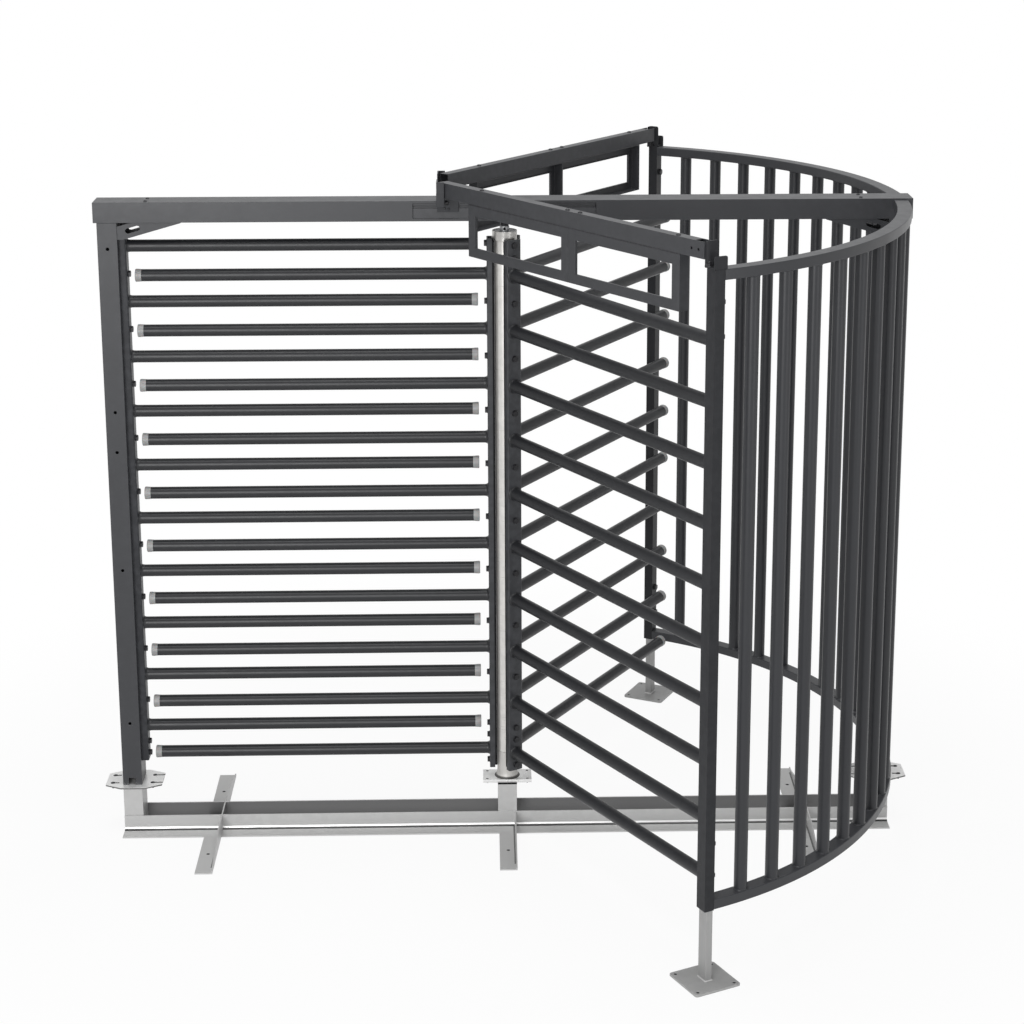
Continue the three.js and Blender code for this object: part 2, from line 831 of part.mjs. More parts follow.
function baseFrame() {
  const inner = stubDepth / 2;
  const leg = inner + angleSheet;
  const edge = inner + angleFlange;
  const angleOutline = [
    point(inner, 0), point(edge, 0), point(edge, angleSheet),
    point(leg, angleSheet), point(leg, angleHeight), point(inner, angleHeight),
  ];
  const longAngle = lengthwisePrism(angleOutline, -postOuter, postOuter);
  const footHalf = crossFootWidth / 2;
  const sideFoot = postOuter - crossFootInset;
  const footOutline = (start) => [
    point(start, 0),
    point(crossFootHalfLength, 0),
    point(crossFootHalfLength, crossFootToeHeight),
    point(crossFootToe, crossFootToeHeight),
    point(crossFootFull, angleHeight),
    point(start, angleHeight),
  ];
  const halfFoot = (x, start) => joined([
    block(x - footHalf, x + footHalf, start, crossFootHalfLength, 0, angleSheet),
    lengthwisePrism(footOutline(start), x + footHalf - angleSheet, x + footHalf),
  ]);
  const sides = [
    longAngle,
    halfFoot(0, inner),
    halfFoot(sideFoot, 0),
    halfFoot(-sideFoot, 0),
  ];
  const anchors = [-sideFoot, 0, sideFoot].flatMap((x) => [-anchorOffset, anchorOffset]
    .map((y) => uprightPrism(circle(x, y, anchorHole / 2), -overrun, angleSheet + overrun)));
  return cut(joined([...sides, ...sides.map(mirrored)]), anchors);
}

add('base_frame', baseFrame(), 'bright');

// Cage: modelled at the back, with the front as its mirror image

function cageHalf() {
  const arc = (radius) => {
    const start = Math.asin(beamDepth / 2 / radius);
    const end = endPostAngle - Math.asin((endPostWidth / 2 + seatGap) / radius);
    return Array.from({ length: ringSteps + 1 }, (_, i) => {
      const angle = start + ((end - start) * i) / ringSteps;
      return point(radius * Math.cos(angle), radius * Math.sin(angle));
    });
  };
  const outline = [...arc(ringOuter), ...arc(ringInner).reverse()];
  const topRingFoot = ringTop - ringHeight;
  const footRingTop = ringFoot + ringHeight;
  const bars = Array.from({ length: barCount }, (_, i) => {
    const angle = endPostAngle - cageBarAngle * (i + 1);
    const x = cageRadius * Math.cos(angle);
    const y = cageRadius * Math.sin(angle);
    return rodUpright(x, y, footRingTop - weldSink, topRingFoot + weldSink, barRadius, barSides);
  });
  return joined([
    uprightPrism(outline, topRingFoot, ringTop),
    uprightPrism(outline, ringFoot, footRingTop),
    ...bars,
  ]);
}

const backCage = cageHalf();
add('cage_back', backCage, 'coated');
add('cage_front', mirrored(backCage), 'coated');

// End posts, legs, header beams, panels and their brackets: modelled at the front and mirrored

function atEndPost(geometry) {
  return geometry.translate(cageRadius, 0, 0).rotateZ(-endPostAngle);
}

function atHeader(geometry) {
  return geometry.rotateZ(-headerAngle);
}

const endPostFoot = ringFoot - endPostDrop;

function endPost() {
  const half = endPostDepth / 2;
  return atEndPost(boxTube(-half, half, endPostWidth, endPostFoot, ringTop, endPostWall));
}

function leg() {
  const half = endPostDepth / 2 - endPostWall - slideGap;
  const depth = endPostWidth - 2 * (endPostWall + slideGap);
  const tube = boxTube(-half, half, depth, footPlateThickness - weldSink, endPostFoot + legInsertion, legWall);
  const plateHalf = footPlate / 2;
  const corners = rectangle(-plateHalf, plateHalf, -plateHalf, plateHalf);
  const hole = plateHalf - footHoleInset;
  const holes = [[-hole, -hole], [hole, -hole], [hole, hole], [-hole, hole]];
  const plate = uprightPrism(
    rounded(corners, corners.map(() => footPlateCorner)), 0, footPlateThickness,
    holes.map(([x, y]) => circle(x, y, footHole / 2)),
  );
  return atEndPost(joined([tube.translate(slideGap - seatGap, 0, 0), plate]));
}

function headerBeam() {
  const outline = rectangle(-headerOffset, -headerInner, headerFoot, headerTop);
  const hollow = rectangle(
    headerSheet - headerOffset, -headerInner - headerSheet, headerFoot + headerSheet, headerTop - headerSheet,
  );
  const tube = lengthwisePrism(outline, headerStart, headerEnd, [hollow]);
  const notch = block(
    headerEnd - headerNotch, headerEnd + overrun,
    headerSheet - headerOffset, -headerInner - headerSheet,
    headerTop - overrun, headerTop + overrun,
  );
  const holes = headerHoleSteps.map((step) => crosswisePrism(
    circle(headerEnd - step, (headerFoot + headerTop) / 2, headerHole / 2),
    -headerOffset - overrun, overrun - headerOffset,
  ));
  return atHeader(cut(tube, [notch, ...holes]));
}

function headerPanel(start) {
  const end = start + panelLength - seatGap;
  const foot = headerFoot - panelHeight;
  const outer = rectangle(start, end, foot, headerFoot);
  const window = rectangle(
    start + panelStile, end - panelStile, foot + panelFootRail, headerFoot - panelTopRail,
  );
  const shrunk = rectangle(start + panelSheet, end - panelSheet, foot + panelSheet, headerFoot - panelSheet);
  const rim = rectangle(
    start + panelStile - panelSheet, end - panelStile + panelSheet,
    foot + panelFootRail - panelSheet, headerFoot - panelTopRail + panelSheet,
  );
  const face = -headerOffset;
  return atHeader(joined([
    crosswisePrism(outer, face, face + panelSheet, [window]),
    crosswisePrism(outer, face, -headerInner, [shrunk]),
    crosswisePrism(rim, face, face + panelReturn, [window]),
  ]));
}

// A point of the header's outer face, seen from above.
function onHeaderFace(along) {
  return point(along, -headerOffset).rotateAround(new THREE.Vector2(), -headerAngle);
}

function rootBracket() {
  const face = beamFront;
  const corner = onHeaderFace(headerStart);
  const lap = onHeaderFace(headerStart + rootLap);
  const outer = corner.x - rootClearance - rootPlate;
  const inner = outer + rootShelf;
  const front = lap.y - rootClearance;
  const uprightFoot = beamTop - rootCheekFoot;
  const uprightTop = headerTop + rootRise;
  return joined([
    block(outer, inner, face - rootPlate, face, beamTop - rootFoot, headerFoot),
    block(outer, inner, front, face, headerFoot - rootPlate, headerFoot),
    block(outer, outer + rootPlate, front, face, uprightFoot, uprightTop),
    block(outer, lap.x, front - rootPlate, front, uprightFoot, uprightTop),
  ]);
}

// A bracket that closes the header beam's end: a leg inside the beam, a bend, an upright plate
// on a shelf over the end post, and a lug at the shelf's far edge.
function saddle() {
  const end = headerEnd + seatGap;
  const outer = headerSheet + seatGap - headerOffset;
  const inner = outer + saddlePlate;
  const bent = outer + saddleBend;
  const far = end + saddleBend;
  const quarter = (radius) => Array.from({ length: cornerSteps + 1 }, (_, i) =>
    point(0, -radius).rotateAround(new THREE.Vector2(), (Math.PI / 2 * i) / cornerSteps)
      .add(point(end, bent)));
  const top = headerTop + saddleRise;
  const plan = [
    ...quarter(saddleBend),
    point(far, outer + saddleWidth),
    point(far - saddlePlate, outer + saddleWidth),
    ...quarter(saddleBend - saddlePlate).reverse(),
  ];
  const frontView = rounded(
    rectangle(outer, outer + saddleWidth, ringTop, top), [0, 0, saddleCorner, saddleCorner],
  );
  const plate = common(uprightPrism(plan, ringTop, top), lengthwisePrism(frontView, end, far));
  const legMargin = headerSheet + seatGap + saddleLegMargin;
  const legHole = (step) => crosswisePrism(
    circle(headerEnd - step, (headerFoot + headerTop) / 2, headerHole / 2), outer - overrun, inner + overrun,
  );
  const leg = cut(
    block(headerEnd - saddleLegLength, end, outer, inner, headerFoot + legMargin, headerTop - legMargin),
    headerHoleSteps.map(legHole),
  );
  const postHalf = endPostDepth / 2;
  const ringSide = endPostWidth / 2;
  const lugOutline = rounded(
    rectangle(-saddleShelfReach, ringSide + lugOverhang, ringTop, ringTop + lugHeight), [0, 0, lugCorner, lugCorner],
  );
  return joined([
    atHeader(joined([plate, leg])),
    atEndPost(joined([
      block(-postHalf, postHalf, -saddleShelfReach, ringSide, ringTop, ringTop + saddlePlate),
      lengthwisePrism(lugOutline, postHalf - saddlePlate, postHalf),
    ])),
  ]);
}

const pieceOfHalf = {
  end_post: [endPost(), 'coated'],
  leg: [leg(), 'bright'],
  header_beam: [headerBeam(), 'coated'],
  inner_panel: [headerPanel(panelStart), 'coated'],
  outer_panel: [headerPanel(panelStart + panelLength), 'coated'],
  root_bracket: [rootBracket(), 'coated'],
  saddle: [saddle(), 'coated'],
};
for (const [name, [geometry, finish]] of Object.entries(pieceOfHalf)) {
  add(`${name}_front`, geometry, finish);
  add(`${name}_back`, mirrored(geometry), finish);
}

// Mechanism in the main beam

const pinRadius = pawlPinDiameter / 2;
const bossRadius = pawlBoss / 2;
const pawlPivot = point(pawlPivotX, pawlPivotY);
const restingElbow = point(wheelDiameter / 2 + pawlBite, 0).rotateAround(pawlPivot, pawlSwing);
const plungerTip = restingElbow.x + pawlArm / 2 + seatGap;
const solenoidStart = plungerTip + solenoidClear;
const solenoidEnd = solenoidStart + solenoidLength;
const boardPlace = solenoidEnd + boardGap + boardLength / 2;

const hubHole = circle(0, 0, spindleRadius + spindlePlay, roundSides);
const mechHalfX = boardPlace + boardLength / 2 + mechPlateEnd;
const mechHalfY = beamDepth / 2 - sheet - mechPlateMargin;
const mechOutline = rectangle(-mechHalfX, mechHalfX, -mechHalfY, mechHalfY);
add('mechanism_plate', uprightPrism(mechOutline, mechFloor, mechTop, [hubHole]), 'steel');
const topBearing = bearing(
  spindleRadius + runningGap, topBearingDiameter / 2, mechTop, mechTop + topBearingHeight,
);
add('top_bearing', topBearing, 'steel');

// A pawl on the right, drawn with its nose in a notch and then swung back to its rest.
function pawl() {
  const nose = wheelDiameter / 2 - pawlBite;
  const elbow = wheelDiameter / 2 + pawlBite;
  const arm = slot(point(elbow, 0), pawlPivot, pawlArm);
  const solid = joined([
    block(nose, elbow, -pawlNose / 2, pawlNose / 2, wheelFoot, wheelTop),
    uprightPrism(arm, wheelFoot, wheelTop),
    rodUpright(pawlPivotX, pawlPivotY, wheelFoot, wheelTop, bossRadius, roundSides),
  ]);
  const bore = rodUpright(
    pawlPivotX, pawlPivotY, wheelFoot - overrun, wheelTop + overrun, pinRadius + seatGap, barSides,
  );
  const locked = cut(solid, [bore]);
  return locked.translate(-pawlPivotX, -pawlPivotY, 0).rotateZ(pawlSwing).translate(pawlPivotX, pawlPivotY, 0);
}

function pawlPin() {
  const profile = [
    [0, mechTop],
    [bossRadius, mechTop],
    [bossRadius, wheelFoot],
    [pinRadius, wheelFoot],
    [pinRadius, wheelTop],
    [bossRadius, wheelTop],
    [bossRadius, wheelTop + pawlPinHead],
    [0, wheelTop + pawlPinHead],
  ];
  return turned(profile, barSides).translate(pawlPivotX, pawlPivotY, 0);
}

// A solenoid whose plunger ends beside the elbow of the resting pawl.
function solenoid() {
  const half = solenoidDepth / 2;
  const across = restingElbow.y;
  return joined([
    block(solenoidStart, solenoidEnd, across - half, across + half, mechTop, mechTop + solenoidHeight),
    rodAlongX(
      plungerTip, solenoidStart + weldSink, across, (wheelFoot + wheelTop) / 2, plungerDiameter / 2, barSides,
    ),
  ]);
}

function controlBoard() {
  const halfX = boardLength / 2;
  const halfY = boardDepth / 2;
  const foot = mechTop + boardStandoff;
  const size = boardStandoffSize;
  const legs = [-halfX, halfX - size].flatMap((x) => [-halfY, halfY - size].map((y) =>
    block(x, x + size, y, y + size, mechTop, foot)));
  const board = block(-halfX, halfX, -halfY, halfY, foot, foot + boardThickness);
  return joined([board, ...legs]).translate(-boardPlace, 0, 0);
}

const pieceOfMechanism = {
  pawl: [pawl(), 'steel'],
  pawl_pin: [pawlPin(), 'steel'],
  solenoid: [solenoid(), 'dark'],
};
for (const [name, [geometry, finish]] of Object.entries(pieceOfMechanism)) {
  add(`${name}_right`, geometry, finish);
  add(`${name}_left`, opposite(geometry), finish);
}
add('control_board', controlBoard(), 'board');

export default turnstile;
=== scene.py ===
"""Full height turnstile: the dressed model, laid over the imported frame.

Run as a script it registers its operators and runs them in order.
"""
import json
import math

import bmesh
import bpy
from bpy.props import FloatProperty, FloatVectorProperty, IntProperty, PointerProperty
from mathutils import Matrix, Vector


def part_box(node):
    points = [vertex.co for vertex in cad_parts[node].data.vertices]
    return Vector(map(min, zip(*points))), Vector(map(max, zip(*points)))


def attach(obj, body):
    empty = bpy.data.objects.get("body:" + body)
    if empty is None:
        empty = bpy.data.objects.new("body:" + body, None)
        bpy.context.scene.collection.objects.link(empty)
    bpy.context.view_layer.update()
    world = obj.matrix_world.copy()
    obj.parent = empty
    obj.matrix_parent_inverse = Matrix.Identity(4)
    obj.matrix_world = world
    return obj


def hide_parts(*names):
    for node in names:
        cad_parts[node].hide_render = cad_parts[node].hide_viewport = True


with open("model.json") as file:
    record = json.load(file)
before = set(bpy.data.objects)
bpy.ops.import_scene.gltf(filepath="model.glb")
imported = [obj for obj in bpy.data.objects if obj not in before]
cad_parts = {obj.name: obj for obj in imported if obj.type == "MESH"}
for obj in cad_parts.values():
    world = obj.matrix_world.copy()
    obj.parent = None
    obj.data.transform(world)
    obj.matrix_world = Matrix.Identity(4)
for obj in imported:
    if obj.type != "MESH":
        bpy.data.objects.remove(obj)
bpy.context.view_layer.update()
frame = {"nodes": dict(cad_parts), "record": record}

bl_info = {
    "name": "Full height turnstile",
    "version": (1, 0, 0),
    "blender": (4, 5, 0),
    "location": "3D Viewport > Sidebar > Turnstile",
    "description": "Builds the visible pieces of a full height turnstile on its frame",
    "category": "Object",
}

UP = Vector((0.0, 0.0, 1.0))
SIDES = (-1.0, 1.0)
ALONG, FORWARD = (1.0, 0.0, 0.0), (0.0, -1.0, 0.0)
# Each wing's angle, and how much shorter its bars are.
WINGS = {
    "wing_left": (math.radians(180.0), 0.0),
    "wing_back": (math.radians(59.2), 0.016),
    "wing_front": (math.radians(-59.2), 0.032),
}
# Places that the frame has: from the rotor's axis, from the comb's open edges, and over the floor.
WING_WEB = 0.064
COMB_DEPTH = 0.025
FLOOR_LEVEL = 0.182
HEADER_TOP = 2.433
POST_HALF = 0.015
FOOT_PLACES = (-1.089, 0.0, 1.089)
END_POST_ANGLE = math.radians(63.3)
CAGE_BAR_ANGLE = math.radians(5.56)
HEADER_ANGLE = math.radians(54.4)


def size_field(name, description, default):
    """A length that the panel shows."""
    return FloatProperty(name=name, description=description, default=default, unit="LENGTH")


def colour_field(name, description, default):
    """A colour that the panel shows."""
    return FloatVectorProperty(name=name, description=description, subtype="COLOR", size=3, default=default)


class TurnstileSizes(bpy.types.PropertyGroup):
    """Sizes of the bars, channels, rings and fastenings"""

    bar_diameter: size_field("Bar diameter", "Outer diameter of every bar", 0.0432)
    bar_pitch: size_field("Bar pitch", "Height from one bar to the next", 0.2)
    bar_count: IntProperty(
        name="Bars", description="Bars in the comb, in each wing and in each half of the cage", default=10)
    top_wing_bar: size_field("Top wing bar", "Level of the highest bar of a wing", 2.0915)
    comb_head: size_field("Comb head", "From the highest bar of the comb up to the top of its channel", 0.029)
    bar_sides: IntProperty(name="Bar facets", description="Facets round a bar", default=32)
    root_diameter: size_field("Root diameter", "Width of a bar where it meets its channel", 0.056)
    root_length: size_field("Root length", "Length over which a bar widens at its root", 0.012)
    cap_diameter: size_field("Cap diameter", "Diameter of an end cap", 0.0462)
    cap_length: size_field("Cap length", "Length of an end cap", 0.021)
    wing_reach: size_field("Wing reach", "From the axis to the tips of the wings", 1.3)
    comb_tip: size_field("Comb tips", "From the axis to the tips of the comb", 0.095)
    channel_width: size_field("Channel width", "Width of an upright channel", 0.058)
    channel_sheet: size_field("Channel sheet", "Sheet thickness of an upright channel", 0.004)
    channel_bend: size_field("Channel bend", "Outer bend radius of a channel", 0.006)
    channel_corner: size_field("Channel corner", "Corner radius at the foot of a channel", 0.014)
    rail_start: size_field("Rail start", "From the axis to the rails of the wings", 0.0368)
    rail_width: size_field("Rail width", "Thickness of the rails of the wings", 0.014)
    rail_drop: size_field("Rail drop", "From the top of a wing's channel down to the top of its rail", 0.0073)
    ring_inner: size_field("Ring inner radius", "Inner radius of the cage rings", 1.365)
    ring_width: size_field("Ring width", "Width of the cage rings", 0.05)
    ring_height: size_field("Ring height", "Height of the cage rings", 0.034)
    sheet_edge: size_field("Sheet edge", "Bend radius at the edges of folded sheet", 0.003)
    base_bend: size_field("Base bend", "Radius of the inside bend of the base angles", 0.011)
    shaft_diameter: size_field("Shaft diameter", "Outer diameter of the rotor shaft", 0.073)
    shaft_wall: size_field("Shaft wall", "Wall thickness of the rotor shaft", 0.003)
    cup_rim: size_field("Cup rim", "Width of the rim of the cup on the shaft", 0.003)
    cup_recess: size_field("Cup recess", "From the cup's rim down to its floor", 0.008)
    cup_socket: size_field("Cup socket", "From the cup's rim down to the end of the shaft", 0.014)
    fit: size_field("Fit", "Clearance beside a turned neighbour", 0.0003)
    sink: size_field("Sink", "How far a welded or seated piece runs in", 0.001)
    bolt_diameter: size_field("Bolt diameter", "Thread diameter of the channel bolts", 0.0115)
    channel_depth: size_field("Channel depth", "Depth of the wings' channels, from web to open edge", 0.0195)
    edging_depth: size_field(
        "Edging depth", "From the open edges of the channels to the edging's lips", 0.007)
    post_skin: size_field("End post skin", "Cover on the outer side of the end posts", 0.0055)


class TurnstileColours(bpy.types.PropertyGroup):
    """Colours of the finishes"""

    sheet_coat: colour_field("Sheet coat", "Anthracite powder coat of the sheetwork", (0.0435, 0.0448, 0.049))
    channel_coat: colour_field("Channel coat", "Powder coat of the channels", (0.034, 0.0352, 0.039))
    bar_coat: colour_field("Bar coat", "Powder coat of the bars", (0.0155, 0.0162, 0.0185))
    bare_steel: colour_field("Bare steel", "Unpainted base, stubs and legs", (0.52, 0.52, 0.517))
    plate_steel: colour_field(
        "Plate steel", "Pale plates at the foot of the posts and of the shaft", (0.86, 0.86, 0.855))
    # The dark grey of painted shade: between the base angles, beside the cross feet and at the foot of the
    # bends.
    painted_shade: colour_field("Painted shade", "Dark inside of the base angles", (0.175, 0.175, 0.176))
    shaft_steel: colour_field("Shaft steel", "Brushed steel of the shaft", (0.63, 0.617, 0.595))
    machined_steel: colour_field("Machined steel", "Wheels, pins and bearings", (0.36, 0.365, 0.375))
    end_cap: colour_field("End cap", "Milky plastic of the end caps", (0.33, 0.33, 0.33))
    fastener: colour_field("Fastener", "Blackened bolts, nuts and screws", (0.014, 0.014, 0.016))
    circuit_board: colour_field("Circuit board", "Lacquer of the control board", (0.025, 0.11, 0.05))
    floor: colour_field("Floor", "Pale studio floor", (0.68, 0.68, 0.68))


def sizes():
    return bpy.context.scene.turnstile_sizes


def colours():
    return bpy.context.scene.turnstile_colours


# Finishes


def wired(tree, kind, inputs=None, **settings):
    """Adds a node with its settings, its inputs taken from other outputs or from plain values."""
    node = tree.nodes.new(kind)
    for name, value in settings.items():
        setattr(node, name, value)
    for socket, value in (inputs or {}).items():
        if isinstance(value, bpy.types.NodeSocket):
            tree.links.new(value, node.inputs[socket])
        else:
            node.inputs[socket].default_value = value
    return node


def shade(colour, share):
    """A share of a colour."""
    return tuple(channel * share for channel in colour)


class Finish:
    """A node material in the making: a surface shader with patterns in object space."""

    def __init__(self, name, colour, roughness, metallic=0.0, gloss=0.5):
        self.material = bpy.data.materials.new(name)
        self.material.use_nodes = True
        self.tree = self.material.node_tree
        self.tree.nodes.clear()
        self.shader = self.add("ShaderNodeBsdfPrincipled", {
            "Roughness": roughness, "Metallic": metallic, "Specular IOR Level": gloss})
        self.add("ShaderNodeOutputMaterial", {"Surface": self.shader.outputs["BSDF"]})
        self.place = self.add("ShaderNodeTexCoord").outputs["Object"]
        self.colour = colour
        self.tone = None

    def add(self, kind, inputs=None, **settings):
        return wired(self.tree, kind, inputs, **settings)

    def laid(self, output):
        """Takes an output as the colour so far."""
        self.tone = output
        self.tree.links.new(output, self.shader.inputs["Base Color"])

    def noise(self, scale, detail=2.0, stretch=(1.0, 1.0, 1.0)):
        """A noise whose grains are stretched along the axes with a small stretch value."""
        mapping = self.add("ShaderNodeMapping", {"Vector": self.place, "Scale": stretch})
        grains = {"Vector": mapping.outputs["Vector"], "Scale": scale, "Detail": detail}
        return self.add("ShaderNodeTexNoise", grains).outputs[0]

    def spread(self, output, start, end, low=0.0, high=1.0):
        """An output's range from start to end, made to run from low to high."""
        ends = {"From Min": start, "From Max": end, "To Min": low, "To Max": high}
        return self.add("ShaderNodeMapRange", {"Value": output, **ends}).outputs["Result"]

    def along(self, axis):
        """The object coordinate along an axis."""
        return self.add("ShaderNodeSeparateXYZ", {"Vector": self.place}).outputs[axis]

    def mirrored(self, axis):
        """The distance from the middle along an axis, on both sides."""
        return self.add("ShaderNodeMath", {0: self.along(axis)}, operation="ABSOLUTE").outputs["Value"]

    def both(self, first, second):
        """The product of two masks."""
        return self.add("ShaderNodeMath", {0: first, 1: second}, operation="MULTIPLY").outputs["Value"]

    def tinted(self, source, dark, light):
        """The colour, between a darker and a lighter share of itself, after the source."""
        ramp = self.add("ShaderNodeValToRGB", {"Fac": source})
        for element, position, share in zip(ramp.color_ramp.elements, (0.32, 0.68), (dark, light)):
            element.position = position
            element.color = (*shade(self.colour, share), 1.0)
        self.laid(ramp.outputs["Color"])

    def blended(self, mask, colour):
        """Lays another colour over the colour so far where the mask is one."""
        factor, under, over, result = 0, 6, 7, 2
        mix = self.add(
            "ShaderNodeMix", {factor: mask, under: self.tone, over: (*colour, 1.0)},
            data_type="RGBA", clamp_factor=True)
        self.laid(mix.outputs[result])

    def highlit_edges(self, share, start=0.53, end=0.62, scale=40.0):
        """Paints a highlight along edges: a lighter share of the colour, in patches, where the shape turns
        sharply.
        """
        edges = self.spread(self.add("ShaderNodeNewGeometry").outputs["Pointiness"], start, end)
        patches = self.spread(self.noise(scale, 3.0), 0.42, 0.62)
        brightest = 0.9
        edge_highlight = tuple(min(channel, brightest) for channel in shade(self.colour, share))
        # A painted highlight: a lighter share of the colour on sharp edges, in patches.
        self.blended(self.both(edges, patches), edge_highlight)

    def soiled(self, share, scale=7.0, strength=0.5):
        """Darkens the colour in loose patches."""
        patches = self.spread(self.noise(scale, 6.0), 0.52, 0.78, 0.0, strength)
        self.blended(patches, shade(self.colour, share))

    def finished(self, sheen, relief):
        """Gives the roughness and the bump, and returns the material.

        The sheen is a noise, a low and a high roughness, and the relief a noise, strength and distance.
        """
        noise, low, high = sheen
        roughness = self.spread(self.noise(*noise), 0.3, 0.7, low, high)
        self.tree.links.new(roughness, self.shader.inputs["Roughness"])
        noise, strength, distance = relief
        bump = {"Height": self.noise(*noise), "Strength": strength, "Distance": distance}
        normal = self.add("ShaderNodeBump", bump).outputs["Normal"]
        self.tree.links.new(normal, self.shader.inputs["Normal"])
        return self.material


def coat(name, colour, roughness, gloss):
    """Satin powder coat: a fine orange peel, cloudy tone and gloss, and a painted highlight along its edges.
    """
    finish = Finish(name, colour, roughness, 0.0, gloss)
    finish.tinted(finish.noise(9.0, 4.0), 0.975, 1.025)
    finish.soiled(0.8, 5.0, 0.15)
    finish.highlit_edges(1.35)
    return finish.finished(
        ((25.0, 3.0), roughness - 0.02, roughness + 0.03), ((700.0, 2.0), 0.25, 0.00012))


def beam_coat():
    return coat("beam_coat", colours().sheet_coat, 0.37, 0.34)


def sheet_coat():
    return coat("sheet_coat", colours().sheet_coat, 0.36, 0.28)


def post_coat():
    return coat("post_coat", shade(colours().sheet_coat, 0.62), 0.42, 0.12)


def channel_coat():
    return coat("channel_coat", colours().channel_coat, 0.38, 0.2)


def comb_coat():
    return coat("comb_coat", colours().channel_coat, 0.4, 0.17)


def wing_coat():
    return coat("wing_coat", shade(colours().channel_coat, 1.05), 0.37, 0.33)


def bar_coat():
    return coat("bar_coat", colours().bar_coat, 0.39, 0.4)


def cage_coat():
    return coat("cage_coat", colours().channel_coat, 0.34, 0.3)


def rolled_steel(name, stretch):
    """Unpainted steel in the making: long rolling marks, a cloudy satin sheen, and a painted highlight on its
    edges.
    """
    finish = Finish(name, colours().bare_steel, 0.42, 0.3)
    finish.tinted(finish.noise(14.0, 5.0, stretch), 0.99, 1.01)
    finish.soiled(0.95, 6.0, 0.05)
    finish.highlit_edges(1.08)
    return finish


ROLLED_SHEEN = ((60.0, 4.0, (0.06, 1.0, 1.0)), 0.42, 0.45)
ROLLED_RELIEF = ((420.0, 3.0, (0.04, 1.0, 1.0)), 0.08, 0.0001)


def bare_steel():
    """The stubs' steel."""
    return rolled_steel("bare_steel", (1.0, 1.0, 1.0)).finished(ROLLED_SHEEN, ROLLED_RELIEF)


def base_steel():
    """The base's steel: as the bare steel outside, and painted shade in a dark grey between its angles."""
    finish = rolled_steel("base_steel", (0.3, 1.0, 1.0))
    between = finish.spread(finish.mirrored("Y"), 0.0585, 0.0565)
    below = finish.spread(finish.along("Z"), 0.0596, 0.059)
    # Painted shade: the dark grey between the angles, below their tops.
    finish.blended(finish.both(between, below), colours().painted_shade)
    return finish.finished(ROLLED_SHEEN, ROLLED_RELIEF)


def plate_steel():
    """The pedestal's plate, a little duller low on its edges."""
    return plate("plate_steel", 0.176, 0.9)


def cut_plate_steel():
    """The floor plates, much darker on their edges below their top."""
    return plate("cut_plate_steel", FLOOR_LEVEL, 0.2)


def plate(name, bright_level, cut_share):
    """Pale zinc plate with a faint spangle, and a share of its colour below its bright part."""
    finish = Finish(name, colours().plate_steel, 0.32, 0.45)
    finish.tinted(finish.noise(55.0, 4.0), 0.96, 1.03)
    finish.soiled(0.85, 12.0, 0.15)
    cut = finish.spread(finish.along("Z"), bright_level - 0.0004, bright_level - 0.0008)
    finish.blended(cut, shade(colours().plate_steel, cut_share))
    return finish.finished(((90.0, 3.0), 0.27, 0.36), ((500.0, 2.0), 0.15, 0.0001))


BRUSHED = (500.0, 3.0, (0.02, 0.02, 1.0))
BRUSH_LINES = (900.0, 2.0, (0.01, 0.01, 1.0))


def shaft_steel():
    """Stainless tube, brushed round its axis."""
    finish = Finish("shaft_steel", colours().shaft_steel, 0.33, 0.42)
    finish.tinted(finish.noise(10.0, 3.0), 0.96, 1.04)
    finish.soiled(0.85, 9.0, 0.25)
    finish.highlit_edges(1.2)
    return finish.finished((BRUSHED, 0.27, 0.38), (BRUSH_LINES, 0.12, 0.00008))


def polished_steel():
    """Bright turned steel of the cup: fine rings, and a tight gloss."""
    finish = Finish("polished_steel", shade(colours().shaft_steel, 0.74), 0.3, 0.85)
    finish.tinted(finish.noise(10.0, 3.0), 0.97, 1.03)
    finish.highlit_edges(1.2)
    return finish.finished((BRUSHED, 0.27, 0.34), (BRUSH_LINES, 0.1, 0.00006))


def pedestal_steel():
    """As the shaft, duller, with a painted shadow round the foot of the flare."""
    finish = Finish("pedestal_steel", shade(colours().shaft_steel, 0.9), 0.5, 0.3)
    finish.tinted(finish.noise(10.0, 3.0), 0.96, 1.04)
    # Painted shadow round the foot of the flare.
    foot = finish.spread(finish.along("Z"), 0.1905, 0.187)
    finish.blended(foot, shade(colours().shaft_steel, 0.16))
    return finish.finished((BRUSHED, 0.46, 0.54), (BRUSH_LINES, 0.1, 0.00006))


def shaded_leg_steel():
    """The legs' steel: a darker share of the bare steel, painted as shade."""
    # A darker share of the bare steel: painted shade on the legs.
    finish = Finish("shaded_leg_steel", shade(colours().bare_steel, 0.66), 0.45, 0.25)
    finish.tinted(finish.noise(14.0, 5.0), 0.96, 1.03)
    finish.highlit_edges(1.4)
    return finish.finished(
        ((60.0, 4.0, (1.0, 1.0, 0.06)), 0.4, 0.52), ((420.0, 3.0, (1.0, 1.0, 0.04)), 0.18, 0.0001))


def lit_and_shaded_bend():
    """The inside of the bends: a lighter copy of the bare steel as a painted highlight, and a painted shadow
    along its foot.
    """
    # A lighter copy of the bare steel: a painted highlight on the bend.
    finish = Finish("lit_and_shaded_bend", shade(colours().bare_steel, 1.6), 0.36, 0.8)
    finish.tinted(finish.noise(20.0, 4.0), 0.97, 1.02)
    # Painted shadow along the foot of the bend.
    foot = finish.spread(finish.along("Z"), 0.0092, 0.0084)
    finish.blended(foot, shade(colours().painted_shade, 0.35))
    return finish.finished(((90.0, 3.0), 0.34, 0.38), ((200.0, 1.0, (0.02, 1.0, 1.0)), 0.02, 0.00002))


